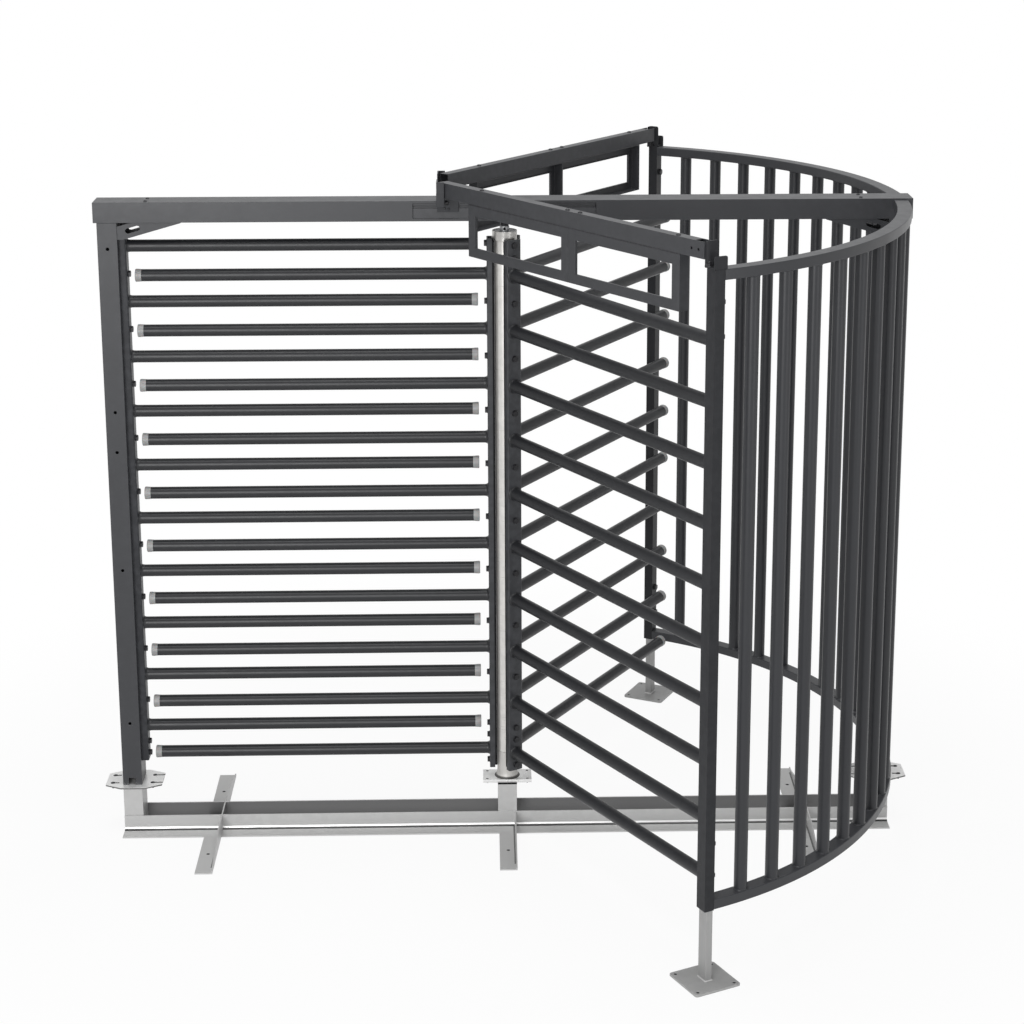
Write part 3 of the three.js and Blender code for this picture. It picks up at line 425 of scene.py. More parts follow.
def shadow_strip_steel():
    """A dark mottled grey, painted as the shadow beside the webs of the cross feet."""
    # The dark grey paints the shadow beside the cross feet's webs.
    finish = Finish("shadow_strip_steel", colours().painted_shade, 0.5, 0.4)
    finish.tinted(finish.noise(180.0, 4.0), 0.5, 1.1)
    return finish.finished(((200.0, 3.0), 0.42, 0.6), ((260.0, 3.0), 0.5, 0.0004))


MILLED = (300.0, 3.0, (1.0, 0.08, 1.0))
TOOL_MARKS = (1200.0, 2.0, (1.0, 0.05, 1.0))


def spindle_steel():
    """Turned steel of the hub, with a blackened spindle above it."""
    finish = Finish("spindle_steel", colours().machined_steel, 0.35, 0.8)
    finish.tinted(finish.noise(80.0, 4.0), 0.88, 1.06)
    above = finish.spread(finish.along("Z"), 2.261, 2.2625)
    finish.blended(above, colours().fastener)
    return finish.finished((MILLED, 0.3, 0.42), (TOOL_MARKS, 0.12, 0.00006))


def machined_steel():
    """Turned and milled steel with fine tool marks."""
    finish = Finish("machined_steel", colours().machined_steel, 0.35, 0.8)
    finish.tinted(finish.noise(80.0, 4.0), 0.88, 1.06)
    finish.highlit_edges(1.5)
    return finish.finished((MILLED, 0.28, 0.45), (TOOL_MARKS, 0.15, 0.00006))


def black_and_shade_coat():
    """Matt near-black: painted shade on the rails inside the channels and on the strips at the stub heads,
    and the hub screw's own black.
    """
    # The near-black paints shade inside the channels and at the stub heads; on the hub screw it is the
    # screw's own black.
    finish = Finish("black_and_shade_coat", colours().fastener, 0.6, 0.0, 0.1)
    finish.tinted(finish.noise(60.0, 3.0), 0.35, 0.6)
    return finish.finished(((90.0, 3.0), 0.55, 0.66), ((700.0, 2.0), 0.2, 0.0001))


def end_cap_plastic():
    """Milky plastic with a soft moulded skin."""
    finish = Finish("end_cap_plastic", colours().end_cap, 0.42, 0.0, 0.4)
    finish.tinted(finish.noise(60.0, 3.0), 0.9, 1.08)
    finish.soiled(0.7, 25.0, 0.5)
    finish.shader.inputs["Subsurface Weight"].default_value = 0.15
    finish.shader.inputs["Subsurface Scale"].default_value = 0.003
    return finish.finished(((150.0, 2.0), 0.36, 0.5), ((900.0, 2.0), 0.1, 0.00006))


def fastener_black():
    """Blackened steel of bolts and nuts, with a painted highlight at their corners."""
    finish = Finish("fastener_black", colours().fastener, 0.4, 0.3)
    finish.tinted(finish.noise(200.0, 3.0), 0.8, 1.3)
    finish.highlit_edges(2.5, 0.56, 0.7, 150.0)
    return finish.finished(((400.0, 3.0), 0.32, 0.5), ((1500.0, 2.0), 0.12, 0.00005))


def board_lacquer():
    """Green lacquer with faint tracks under it."""
    finish = Finish("board_lacquer", colours().circuit_board, 0.35)
    finish.tinted(finish.noise(260.0, 1.0, (1.0, 0.2, 1.0)), 0.7, 1.3)
    return finish.finished(((300.0, 2.0), 0.3, 0.42), ((500.0, 1.0), 0.1, 0.00005))


FINISHES = {
    "powder_coat": sheet_coat,
    "bare_steel": bare_steel,
    "shaft_steel": shaft_steel,
    "machined_steel": machined_steel,
    "end_cap": end_cap_plastic,
    "fastener": fastener_black,
    "dark_plastic": fastener_black,
    "circuit_board": board_lacquer,
}
_made = {}


def made(maker):
    """The material of a maker, made when it is first needed."""
    if maker not in _made:
        _made[maker] = maker()
    return _made[maker]


# Shapes


def piece_from(name, shape, slot_name, body, replaced=(), finish=None, smooth=35.0):
    """Closes a bmesh into a named piece that rides on a body, in its slot's finish or a given one."""
    mesh = bpy.data.meshes.new(name)
    shape.to_mesh(mesh)
    shape.free()
    mesh.shade_smooth()
    mesh.set_sharp_from_angle(angle=math.radians(smooth))
    piece = bpy.data.objects.new(name, mesh)
    bpy.context.scene.collection.objects.link(piece)
    mesh.materials.append(made(finish or FINISHES[slot_name]))
    weight = piece.modifiers.new("Weighted normals", "WEIGHTED_NORMAL")
    weight.keep_sharp = True
    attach(piece, body)
    if replaced:
        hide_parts(*replaced)
    return piece


def spun(shape, profile, steps, place=Matrix.Identity(4), closed=False):
    """Adds a body turned about local Z from (radius, height) pairs, then set in place.

    A closed profile runs round the wall of a tube, and an open one from axis to axis.
    """
    points = [shape.verts.new((radius, 0.0, height)) for radius, height in profile]
    edges = [shape.edges.new(pair) for pair in zip(points, points[1:])]
    if closed:
        edges.append(shape.edges.new((points[-1], points[0])))
    bmesh.ops.spin(
        shape, geom=points + edges, cent=(0.0, 0.0, 0.0), axis=(0.0, 0.0, 1.0), dvec=(0.0, 0.0, 0.0),
        angle=2.0 * math.pi, steps=steps, use_merge=True, use_normal_flip=False, use_duplicate=False)
    turned = _linked(points[0])
    bmesh.ops.remove_doubles(shape, verts=turned, dist=1e-6)
    turned = _linked(next(vert for vert in turned if vert.is_valid))
    faces = list({face for vert in turned for face in vert.link_faces})
    bmesh.ops.recalc_face_normals(shape, faces=faces)
    bmesh.ops.transform(shape, matrix=place, verts=turned)


def _linked(start):
    """Every vertex joined to the start by edges."""
    found, todo = {start}, [start]
    while todo:
        for edge in todo.pop().link_edges:
            for vert in edge.verts:
                if vert not in found:
                    found.add(vert)
                    todo.append(vert)
    return list(found)


def slab(shape, low, high, place=Matrix.Identity(4)):
    """Adds a block between two corners, set in place, and returns its vertices."""
    low, high = Vector(low), Vector(high)
    verts = bmesh.ops.create_cube(shape, size=1.0)["verts"]
    bmesh.ops.scale(shape, vec=high - low, verts=verts)
    bmesh.ops.translate(shape, vec=(low + high) / 2.0, verts=verts)
    bmesh.ops.transform(shape, matrix=place, verts=verts)
    return verts


def pointing(origin, direction):
    """A placement whose local Z runs along a direction from an origin."""
    turn = Vector(direction).to_track_quat("Z", "Y").to_matrix().to_4x4()
    return Matrix.Translation(origin) @ turn


def levels(top):
    return [top - sizes().bar_pitch * step for step in range(sizes().bar_count)]


def bevelled(shape, parts, width, steps, affect="EDGES", slide=False):
    """Rounds the given edges, or the given corners, of a shape."""
    bmesh.ops.bevel(
        shape, geom=parts, offset=width, offset_type="OFFSET", segments=steps, profile=0.5,
        affect=affect, clamp_overlap=True, loop_slide=slide, material=-1)


def eased(shape, width, steps=2, least=30.0):
    """Rounds every edge of a shape that is sharper than the least angle."""
    sharp = [
        edge for edge in shape.edges
        if len(edge.link_faces) == 2 and edge.calc_face_angle(0.0) > math.radians(least)]
    bevelled(shape, sharp, width, steps, slide=True)


def everything(shape):
    return [*shape.verts, *shape.edges, *shape.faces]


def highest(verts):
    """The highest face round some vertices."""
    faces = {face for vert in verts for face in vert.link_faces}
    return max(faces, key=lambda face: face.calc_center_median().z)


def node_shape(node):
    """A merged copy of a CAD node with its flat faces whole."""
    shape = bmesh.new()
    shape.from_mesh(frame["nodes"][node].data)
    bmesh.ops.remove_doubles(shape, verts=shape.verts, dist=1e-5)
    bmesh.ops.dissolve_limit(
        shape, angle_limit=math.radians(0.5), use_dissolve_boundaries=False,
        verts=shape.verts, edges=shape.edges, delimit=set())
    return shape


def eased_copy(node, width, slot_name, body, finish=None, steps=2):
    """Stands for a CAD node with a copy of it whose edges are rounded."""
    shape = node_shape(node)
    eased(shape, width, steps)
    return piece_from(f"{node}_sheet", shape, slot_name, body, [node], finish)


def channel(shape, open_edge, web, foot, top, place):
    """Adds an upright channel of bent sheet, open towards the axis, with rounded corners at its foot."""
    size = sizes()
    half = size.channel_width / 2.0
    start = set(shape.faces)
    slab(shape, (open_edge, -half, foot), (web, half, top))

    def added():
        return [face for face in shape.faces if face not in start]

    def web_edges(condition):
        return [edge for edge in {e for face in added() for e in face.edges} if condition(*edge.verts)]

    near = 1e-6
    bends = web_edges(lambda a, b: abs(a.co.x - web) < near and abs(b.co.x - web) < near
                      and abs(a.co.y - b.co.y) < near)
    bevelled(shape, bends, size.channel_bend, 4)
    corners = web_edges(lambda a, b: abs(a.co.z - foot) < near and abs(b.co.z - foot) < near
                        and abs(a.co.y - b.co.y) < near and abs(a.co.y) > half - near)
    bevelled(shape, corners, size.channel_corner, 6)
    shape.normal_update()
    away = [face for face in added() if abs(face.normal.z) > 0.05 or face.normal.x < -0.5]
    bmesh.ops.delete(shape, geom=away, context="FACES")
    bmesh.ops.solidify(shape, geom=added(), thickness=size.channel_sheet)
    new = added()
    bmesh.ops.recalc_face_normals(shape, faces=new)
    verts = list({vert for face in new for vert in face.verts})
    bmesh.ops.transform(shape, matrix=place, verts=verts)


def rooted_bar(shape, start, length, place):
    """Adds a bar along local X that widens where it is welded to its channel."""
    size = sizes()
    radius, root = size.bar_diameter / 2.0, size.root_diameter / 2.0
    spread = root - radius
    curve = [
        (root - spread * math.sin(turn), size.root_length * (1.0 - math.cos(turn)))
        for turn in (math.radians(step * 15.0) for step in range(7))]
    profile = [(0.0, -size.sink), (root, -size.sink), *curve, (radius, length), (0.0, length)]
    spun(shape, profile, size.bar_sides, place @ pointing(start, (1.0, 0.0, 0.0)))


def end_cap(shape, start, place):
    """Adds a cap on the end of a bar along local X: a collar, a soft rim and a slightly hollow end."""
    size = sizes()
    outer, length = size.cap_diameter / 2.0, size.cap_length
    collar = size.bar_diameter / 2.0 + (outer - size.bar_diameter / 2.0) * 0.35
    rim = length * 0.16
    lip = outer * 0.93
    profile = [
        (0.0, -size.sink), (collar, -size.sink), (collar, length * 0.05), (outer * 0.995, length * 0.6),
        (outer, length - rim), (outer - rim * 0.1, length - rim * 0.5),
        (outer - rim * 0.35, length - rim * 0.15), (lip - rim * 0.5, length),
        (outer * 0.5, length - rim * 0.25), (0.0, length - rim * 0.3)]
    spun(shape, profile, size.bar_sides, place @ pointing(start, (1.0, 0.0, 0.0)))


def hex_bolt(shape, diameter, place):
    """Adds a bolt head with its washer on a face at local Z zero."""
    across = diameter * 1.7
    washer = diameter * 0.16
    head = diameter * 0.64
    spun(shape, [
        (0.0, 0.0), (across * 0.62, 0.0), (across * 0.62, washer * 0.7), (across * 0.59, washer),
        (0.0, washer)], 24, place)
    corner = across / math.sqrt(3.0)
    prism = bmesh.ops.create_cone(
        shape, cap_ends=True, cap_tris=False, segments=6, radius1=corner, radius2=corner, depth=head)["verts"]
    bmesh.ops.translate(shape, vec=(0.0, 0.0, washer + head / 2.0), verts=prism)
    bevelled(shape, list(highest(prism).edges), head * 0.16, 2)
    verts = _linked(next(vert for vert in prism if vert.is_valid))
    bmesh.ops.transform(shape, matrix=place, verts=verts)


def domed_bolt(shape, diameter, place, rise=0.5):
    """Adds a low domed head with a socket on a face at local Z zero."""
    radius = diameter * 0.95
    height = diameter * rise
    socket = diameter * 0.32
    profile = [(0.0, 0.0), (radius, 0.0)]
    profile += [
        (socket + (radius - socket) * math.cos(turn), height * math.sin(turn))
        for turn in (math.radians(step * 18.0) for step in range(6))]
    profile += [(socket, height * 0.4), (0.0, height * 0.4)]
    spun(shape, profile, 20, place)


def through_bolt(shape, diameter, place, length):
    """Adds a bolt with a domed head at local Z zero, and a stem and nut below it."""
    domed_bolt(shape, diameter, place, 0.2)
    stem = diameter * 0.45
    neck = 0.0005
    profile = [(0.0, -length), (stem * 0.8, -length), (stem, -length + stem * 0.3), (stem, neck), (0.0, neck)]
    spun(shape, profile, 16, place)


def flush_screw(shape, diameter, place, shank=0.0):
    """Adds a countersunk head with a socket, its top at local Z zero, and a shank of a given length."""
    radius = diameter / 2.0
    socket = radius * 0.45
    depth = radius * 0.5
    edge = radius * 0.06
    head = radius * 0.7
    stem = radius * 0.6
    head = min(head, shank * 0.9) if shank else head
    foot = -(shank or head * 1.2)
    profile = [
        (0.0, -depth), (socket, -depth), (socket, -edge), (socket + edge, 0.0), (radius - edge, 0.0),
        (radius, -edge), (radius, -head * 0.4), (stem, -head), (stem, foot), (0.0, foot)]
    spun(shape, profile, 20, place)


def nut(shape, diameter, place, rise):
    """Adds a nut on its washer, with the rounded end of its bolt standing out by a given rise."""
    hex_bolt(shape, diameter, place)
    foot = diameter * 0.8
    top = foot + rise
    radius = diameter / 2.0
    profile = [
        (0.0, foot - diameter * 0.2), (radius, foot - diameter * 0.2), (radius, top - radius * 0.35),
        (radius * 0.8, top - radius * 0.1), (radius * 0.6, top), (0.0, top)]
    spun(shape, profile, 16, place)


def bars_and_caps(node, body, web, tip, rows, place):
    """Makes the bars that are welded to a channel's web, and the caps on their tips."""
    bars, caps = bmesh.new(), bmesh.new()
    for level in rows:
        rooted_bar(bars, Vector((web, 0.0, level)), tip - web, place)
        end_cap(caps, Vector((tip, 0.0, level)), place)
    piece_from(f"{node}_bars", bars, "powder_coat", body, [node], bar_coat)
    piece_from(f"{node}_caps", caps, "end_cap", body)


def header_turn(side):
    return Matrix.Rotation(side * HEADER_ANGLE, 4, "Z")


def post_turn(side):
    return Matrix.Rotation(side * END_POST_ANGLE, 4, "Z")


def header_place(along, out, height, side):
    """A point of a header: along it, out from the rotor axis, and up; side is 1 at the back, -1 in front."""
    sine, cosine = math.sin(HEADER_ANGLE), math.cos(HEADER_ANGLE)
    return Vector((along * cosine - out * sine, side * (along * sine + out * cosine), height))


def post_place(reach, turn, height, side):
    """A point of an end post: reach past its middle from the axis, and across it towards the cage."""
    sine, cosine = math.sin(END_POST_ANGLE), math.cos(END_POST_ANGLE)
    radius = sizes().ring_inner + sizes().ring_width / 2.0 + reach
    return Vector((radius * cosine + turn * sine, side * (radius * sine - turn * cosine), height))


# Operators


class TURNSTILE_OT_stage(bpy.types.Operator):
    """Makes the floor, the soft studio light and the camera"""

    bl_idname = "turnstile.stage"
    bl_label = "Stage"

    def execute(self, context):
        self.camera(context)
        self.world(context)
        self.floor(context)
        self.lamps(context)
        context.scene.view_settings.view_transform = "Standard"
        return {"FINISHED"}

    def camera(self, context):
        yaw, pitch, roll = 0.0278, 0.2453, -0.00076
        focal, centre_u, centre_v, frame_side = 2329.22, 545.369, 375.592, 1024.0
        forward = Vector((math.sin(yaw) * math.cos(pitch), math.cos(yaw) * math.cos(pitch), -math.sin(pitch)))
        right = Vector((math.cos(yaw), -math.sin(yaw), 0.0))
        up = right.cross(forward)
        turned_right = right * math.cos(roll) + up * math.sin(roll)
        turned_up = up * math.cos(roll) - right * math.sin(roll)
        data = bpy.data.cameras.new("photo_camera")
        data.sensor_fit = "HORIZONTAL"
        data.lens = focal / frame_side * data.sensor_width
        data.shift_x = (frame_side / 2.0 - centre_u) / frame_side
        data.shift_y = (centre_v - frame_side / 2.0) / frame_side
        data.clip_end = 100.0
        camera = bpy.data.objects.new("photo_camera", data)
        context.scene.collection.objects.link(camera)
        turn = Matrix((turned_right, turned_up, -forward)).transposed().to_4x4()
        eye = (-0.081087, -8.079973, 3.739623)
        camera.matrix_world = Matrix.Translation(eye) @ turn
        context.scene.camera = camera

    def seen_as_white(self, tree):
        """One where a camera, glossy or transmission ray looks, and zero where light is gathered."""
        path = wired(tree, "ShaderNodeLightPath")
        seen = path.outputs["Is Camera Ray"]
        for ray in ("Is Glossy Ray", "Is Transmission Ray"):
            either = wired(tree, "ShaderNodeMath", {0: seen, 1: path.outputs[ray]}, operation="MAXIMUM")
            seen = either.outputs["Value"]
        return seen

    def mixed(self, tree, share, first, second, output):
        """Ends a tree in a mix of two shaders."""
        mix = wired(tree, "ShaderNodeMixShader", {0: share, 1: first.outputs[0], 2: second.outputs[0]})
        wired(tree, output, {"Surface": mix.outputs["Shader"]})

    def world(self, context):
        """A plain sky for light, and for cameras and gloss a white horizon under a dark ceiling."""
        world = bpy.data.worlds.new("studio")
        world.use_nodes = True
        world.cycles.sampling_method = "NONE"
        tree = world.node_tree
        tree.nodes.clear()
        sky = wired(tree, "ShaderNodeBackground", {"Strength": 0.27})
        place = wired(tree, "ShaderNodeTexCoord")
        split = wired(tree, "ShaderNodeSeparateXYZ", {"Vector": place.outputs["Generated"]})
        horizon, ceiling = math.sin(math.radians(31.0)), math.sin(math.radians(50.0))
        fade = wired(tree, "ShaderNodeMapRange", {
            "Value": split.outputs["Z"], "From Min": horizon, "From Max": ceiling, "To Min": 1.0,
            "To Max": 0.12}, interpolation_type="SMOOTHSTEP")
        seen = wired(tree, "ShaderNodeBackground", {"Strength": fade.outputs["Result"]})
        self.mixed(tree, self.seen_as_white(tree), sky, seen, "ShaderNodeOutputWorld")
        context.scene.world = world

    def floor(self, context):
        """A pale floor that keeps the shadow near the object and is plain white further out."""
        shape = bmesh.new()
        half_side, drop = 40.0, 0.0005
        bmesh.ops.create_grid(shape, x_segments=8, y_segments=8, size=half_side)
        bmesh.ops.translate(shape, vec=(0.0, 0.0, -drop), verts=shape.verts)
        mesh = bpy.data.meshes.new("floor")
        shape.to_mesh(mesh)
        shape.free()
        floor = bpy.data.objects.new("floor", mesh)
        context.scene.collection.objects.link(floor)
        material = bpy.data.materials.new("pale_floor")
        material.use_nodes = True
        material.cycles.emission_sampling = "NONE"
        tree = material.node_tree
        tree.nodes.clear()
        matt = wired(tree, "ShaderNodeBsdfDiffuse", {"Color": (*colours().floor, 1.0)})
        glow = wired(tree, "ShaderNodeEmission", {"Strength": 1.0})
        place = wired(tree, "ShaderNodeTexCoord")
        reach = wired(tree, "ShaderNodeVectorMath", {0: place.outputs["Object"]}, operation="LENGTH")
        near = wired(tree, "ShaderNodeMapRange", {
            "Value": reach.outputs["Value"], "From Min": 1.6, "From Max": 3.2, "To Min": 0.93,
            "To Max": 1.0}, interpolation_type="SMOOTHSTEP")
        share = wired(tree, "ShaderNodeMath", {
            0: self.seen_as_white(tree), 1: near.outputs["Result"]}, operation="MULTIPLY")
        self.mixed(tree, share.outputs["Value"], matt, glow, "ShaderNodeOutputMaterial")
        mesh.materials.append(material)

    def lamps(self, context):
        """Soft round lamps that all aim at the middle of the turnstile."""
        middle = Vector((0.0, 0.0, 1.2))
        for name, place, size, power in (
                ("key", (-2.3, -7.1, 2.6), 3.0, 245.0),
                ("near_camera", (-0.4, -8.6, 4.1), 3.0, 60.0),
                ("fill", (4.8, -5.0, 1.6), 3.0, 40.0),
                ("overhead", (0.0, -0.5, 9.0), 7.0, 620.0)):
            data = bpy.data.lights.new(name, "AREA")
            data.shape = "DISK"
            data.size = size
            data.energy = power
            lamp = bpy.data.objects.new(name, data)
            lamp.location = place
            lamp.rotation_mode = "QUATERNION"
            lamp.rotation_quaternion = (middle - Vector(place)).to_track_quat("-Z", "Y")
            context.scene.collection.objects.link(lamp)


class TURNSTILE_OT_sheetwork(bpy.types.Operator):
    """Makes the painted beam, posts, header, panels and brackets with rounded bends"""

    bl_idname = "turnstile.sheetwork"
    bl_label = "Painted sheetwork"

    def execute(self, context):
        for name, share, finish in (
                ("post_left", 0.9, beam_coat), ("gusset_left", 0.25, None),
                ("post_right", 0.9, beam_coat), ("gusset_right", 0.25, None)):
            self.folded(name, share, finish)
        for side in ("front", "back"):
            self.folded(f"header_beam_{side}", 0.7)
            self.end_post(side)
            self.folded(f"saddle_{side}", 0.8, post_coat, 3)
            self.folded(f"root_bracket_{side}", 0.35, channel_coat)
            self.folded(f"inner_panel_{side}", 0.35)
            self.folded(f"outer_panel_{side}", 0.35)
        self.folded("main_beam", 0.9, beam_coat)
        self.folded("access_cover", 0.35, beam_coat)
        self.seams()
        return {"FINISHED"}

    def folded(self, node, share, finish=None, steps=2):
        """A copy of a node whose edges are rounded by a share of the bend at sheet edges."""
        eased_copy(node, sizes().sheet_edge * share, "powder_coat", "frame", finish, steps)

    def end_post(self, side):
        """An end post whose outer side carries a thin cover."""
        sign = 1.0 if side == "back" else -1.0
        node = f"end_post_{side}"
        middle = post_place(0.0, 0.0, 0.0, sign)
        cover = (post_place(0.0, -1.0, 0.0, sign) - middle).normalized()
        nearly_out = POST_HALF - 0.0001
        shape = node_shape(node)
        outer = [vert for vert in shape.verts if (vert.co - middle).dot(cover) > nearly_out]
        bmesh.ops.translate(shape, vec=cover * sizes().post_skin, verts=outer)
        eased(shape, sizes().sheet_edge * 0.7)
        piece_from(f"{node}_sheet", shape, "powder_coat", "frame", [node], post_coat)

    def seams(self):
        """Dark strips in the joints between the headers and their panels."""
        shape = bmesh.new()
        face, proud, joint, below, above = 0.24065, 0.0005, 2.380, 0.003, 0.0015
        start, end = 0.121, 1.231
        for side in SIDES:
            place = Matrix.Translation(header_place(0.0, 0.0, 0.0, side)) @ header_turn(side)
            near, far = sorted((side * (face - proud), side * (face + proud)))
            slab(shape, (start, near, joint - below), (end, far, joint + above), place)
        piece_from("header_seams", shape, "dark_plastic", "frame")


class TURNSTILE_OT_base(bpy.types.Operator):
    """Makes the bare base frame, stubs, floor plates and legs"""

    bl_idname = "turnstile.base"
    bl_label = "Bare base"
    face, sheet = 0.060, 0.005

    def execute(self, context):
        edge = sizes().sheet_edge
        for node, share, finish in (
                ("base_frame", 0.3, base_steel), ("stub_left", 0.9, None), ("stub_right", 0.9, None),
                ("stub_centre", 0.9, None), ("floor_plate_left", 0.12, cut_plate_steel),
                ("floor_plate_right", 0.12, cut_plate_steel), ("leg_front", 0.4, shaded_leg_steel),
                ("leg_back", 0.4, shaded_leg_steel)):
            eased_copy(node, edge * share, "bare_steel", "frame", finish)
        self.bends()
        self.foot_shadow_fillets()
        self.joints()
        self.weld_collars()
        return {"FINISHED"}

    def bends(self):
        """The rounded inside bends that run along the outer sides of both base angles."""
        low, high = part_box("base_frame")
        shape = bmesh.new()
        for side in SIDES:
            start = Vector((low.x, side * self.face, self.sheet))
            self.hollow(shape, start, Vector((0.0, side, 0.0)), sizes().base_bend, high.x - low.x)
        bmesh.ops.recalc_face_normals(shape, faces=shape.faces)
        piece_from("base_bends", shape, "bare_steel", "frame", finish=lit_and_shaded_bend, smooth=50.0)

    def foot_shadow_fillets(self):
        """Hollow strips in the corners along the cross feet, dark as painted shadow beside their webs."""
        shape = bmesh.new()
        half_foot, gap, radius, length = 0.030, 0.006, 0.009, 0.320
        for x in FOOT_PLACES:
            for side in SIDES:
                start = Vector((x + half_foot, side * (self.face + gap), self.sheet))
                self.hollow(shape, start, Vector((-1.0, 0.0, 0.0)), radius, length, Vector((0.0, side, 0.0)))
        bmesh.ops.recalc_face_normals(shape, faces=shape.faces)
        # Their dark finish paints the shadow beside the feet's webs.
        piece_from("foot_shadow_fillets", shape, "bare_steel", "frame", finish=shadow_strip_steel, smooth=50.0)

    def joints(self):
        """Dark strips at the heads of the stubs: painted shadow under the plates."""
        shape = bmesh.new()
        proud, height = 0.0005, 0.004
        for name in ("stub_left", "stub_centre", "stub_right"):
            low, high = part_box(name)
            corner = (low.x - proud, low.y - proud, high.z - height)
            slab(shape, corner, (high.x + proud, high.y + proud, high.z))
        # Their near-black paints the shadow under the plates.
        piece_from("stub_shadow_strips", shape, "dark_plastic", "frame", finish=black_and_shade_coat)

    def hollow(self, shape, start, outward, radius, length, run=Vector((1.0, 0.0, 0.0))):
        """Adds a strip that fills an inside corner with a hollow curve, from a start along its run."""
        overlap = sizes().sink
        first = shape.verts.new(start + UP * radius)
        middle = start + outward * radius + UP * radius
        axis = outward.cross(UP)
        bmesh.ops.spin(
            shape, geom=[first], cent=middle, axis=axis, dvec=(0.0, 0.0, 0.0), angle=math.pi / 2.0,
            steps=8, use_merge=False, use_normal_flip=False, use_duplicate=False)
        arc = _linked(first)
        last = max(arc, key=lambda vert: (vert.co - first.co).length)
        edges = list({edge for vert in arc for edge in vert.link_edges})
        heel = [
            shape.verts.new(start - outward * overlap + UP * radius),
            shape.verts.new(start - outward * overlap - UP * overlap),
            shape.verts.new(start + outward * radius - UP * overlap)]
        edges += [shape.edges.new(pair) for pair in (
            (first, heel[0]), (heel[0], heel[1]), (heel[1], heel[2]), (heel[2], last))]
        outline = bmesh.ops.edgenet_fill(shape, edges=edges)["faces"]
        grown = bmesh.ops.extrude_face_region(shape, geom=outline)["geom"]
        far = [item for item in grown if isinstance(item, bmesh.types.BMVert)]
        bmesh.ops.translate(shape, vec=run * length, verts=far)

    def weld_collars(self):
        """Weld seams round the legs where they stand on their foot plates."""
        shape = bmesh.new()
        half_depth, half_width, plate = 0.0215, 0.0115, 0.008
        bead, height, ease = 0.003, 0.004, 0.0025
        depth, width = half_depth + bead, half_width + bead
        for side in SIDES:
            place = Matrix.Translation(post_place(0.0, 0.0, plate, side)) @ post_turn(side)
            verts = slab(shape, (-depth, -width, -0.0005), (depth, width, height), place)
            bevelled(shape, list(highest(verts).edges), ease, 3)
        piece_from("leg_welds", shape, "bare_steel", "frame")


class TURNSTILE_OT_comb(bpy.types.Operator):
    """Makes the comb: its channel, bars and end caps"""

    bl_idname = "turnstile.comb"
    bl_label = "Comb"

    def execute(self, context):
        size = sizes()
        low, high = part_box("comb")
        web = low.x + COMB_DEPTH
        here = Matrix.Identity(4)
        shape = bmesh.new()
        channel(shape, low.x, web, low.z, high.z, here)
        piece_from("comb_channel", shape, "powder_coat", "frame", ["comb"], comb_coat)
        tip = -size.comb_tip - size.cap_length
        bars_and_caps("comb", "frame", web, tip, levels(high.z - size.comb_head), here)
        return {"FINISHED"}


class TURNSTILE_OT_wings(bpy.types.Operator):
    """Makes the three wings of the rotor: channels, bars and end caps"""

    bl_idname = "turnstile.wings"
    bl_label = "Rotor wings"

    def execute(self, context):
        size = sizes()
        low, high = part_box("wing_left")
        open_edge, rail_top = WING_WEB - size.channel_depth, high.z - size.rail_drop
        half, inset, edging_lift = size.channel_width / 2.0, 0.0004, 0.010
        rail_half, rail_end = size.rail_width / 2.0, WING_WEB - size.channel_sheet + size.sink
        for node, (angle, trim) in WINGS.items():
            place = Matrix.Rotation(angle, 4, "Z")
            shape = bmesh.new()
            channel(shape, open_edge, WING_WEB, low.z, high.z, place)
            # The rails and the edging lips take the near-black that paints shade inside the channels.
            rail = bmesh.new()
            slab(rail, (size.rail_start, -rail_half, low.z), (rail_end, rail_half, rail_top), place)
            for side in SIDES:
                near, far = sorted((side * (half - inset), side * (half - size.channel_sheet + inset)))
                slab(rail, (open_edge - size.edging_depth, near, low.z + edging_lift),
                     (open_edge + size.sink, far, rail_top), place)
            eased(rail, size.sheet_edge * 0.3)
            piece_from(f"{node}_rail", rail, "powder_coat", "rotor", [node], black_and_shade_coat)
            piece_from(f"{node}_channel", shape, "powder_coat", "rotor", [node], wing_coat)
            tip = size.wing_reach - trim - size.cap_length
            bars_and_caps(node, "rotor", WING_WEB, tip, levels(size.top_wing_bar), place)
        return {"FINISHED"}


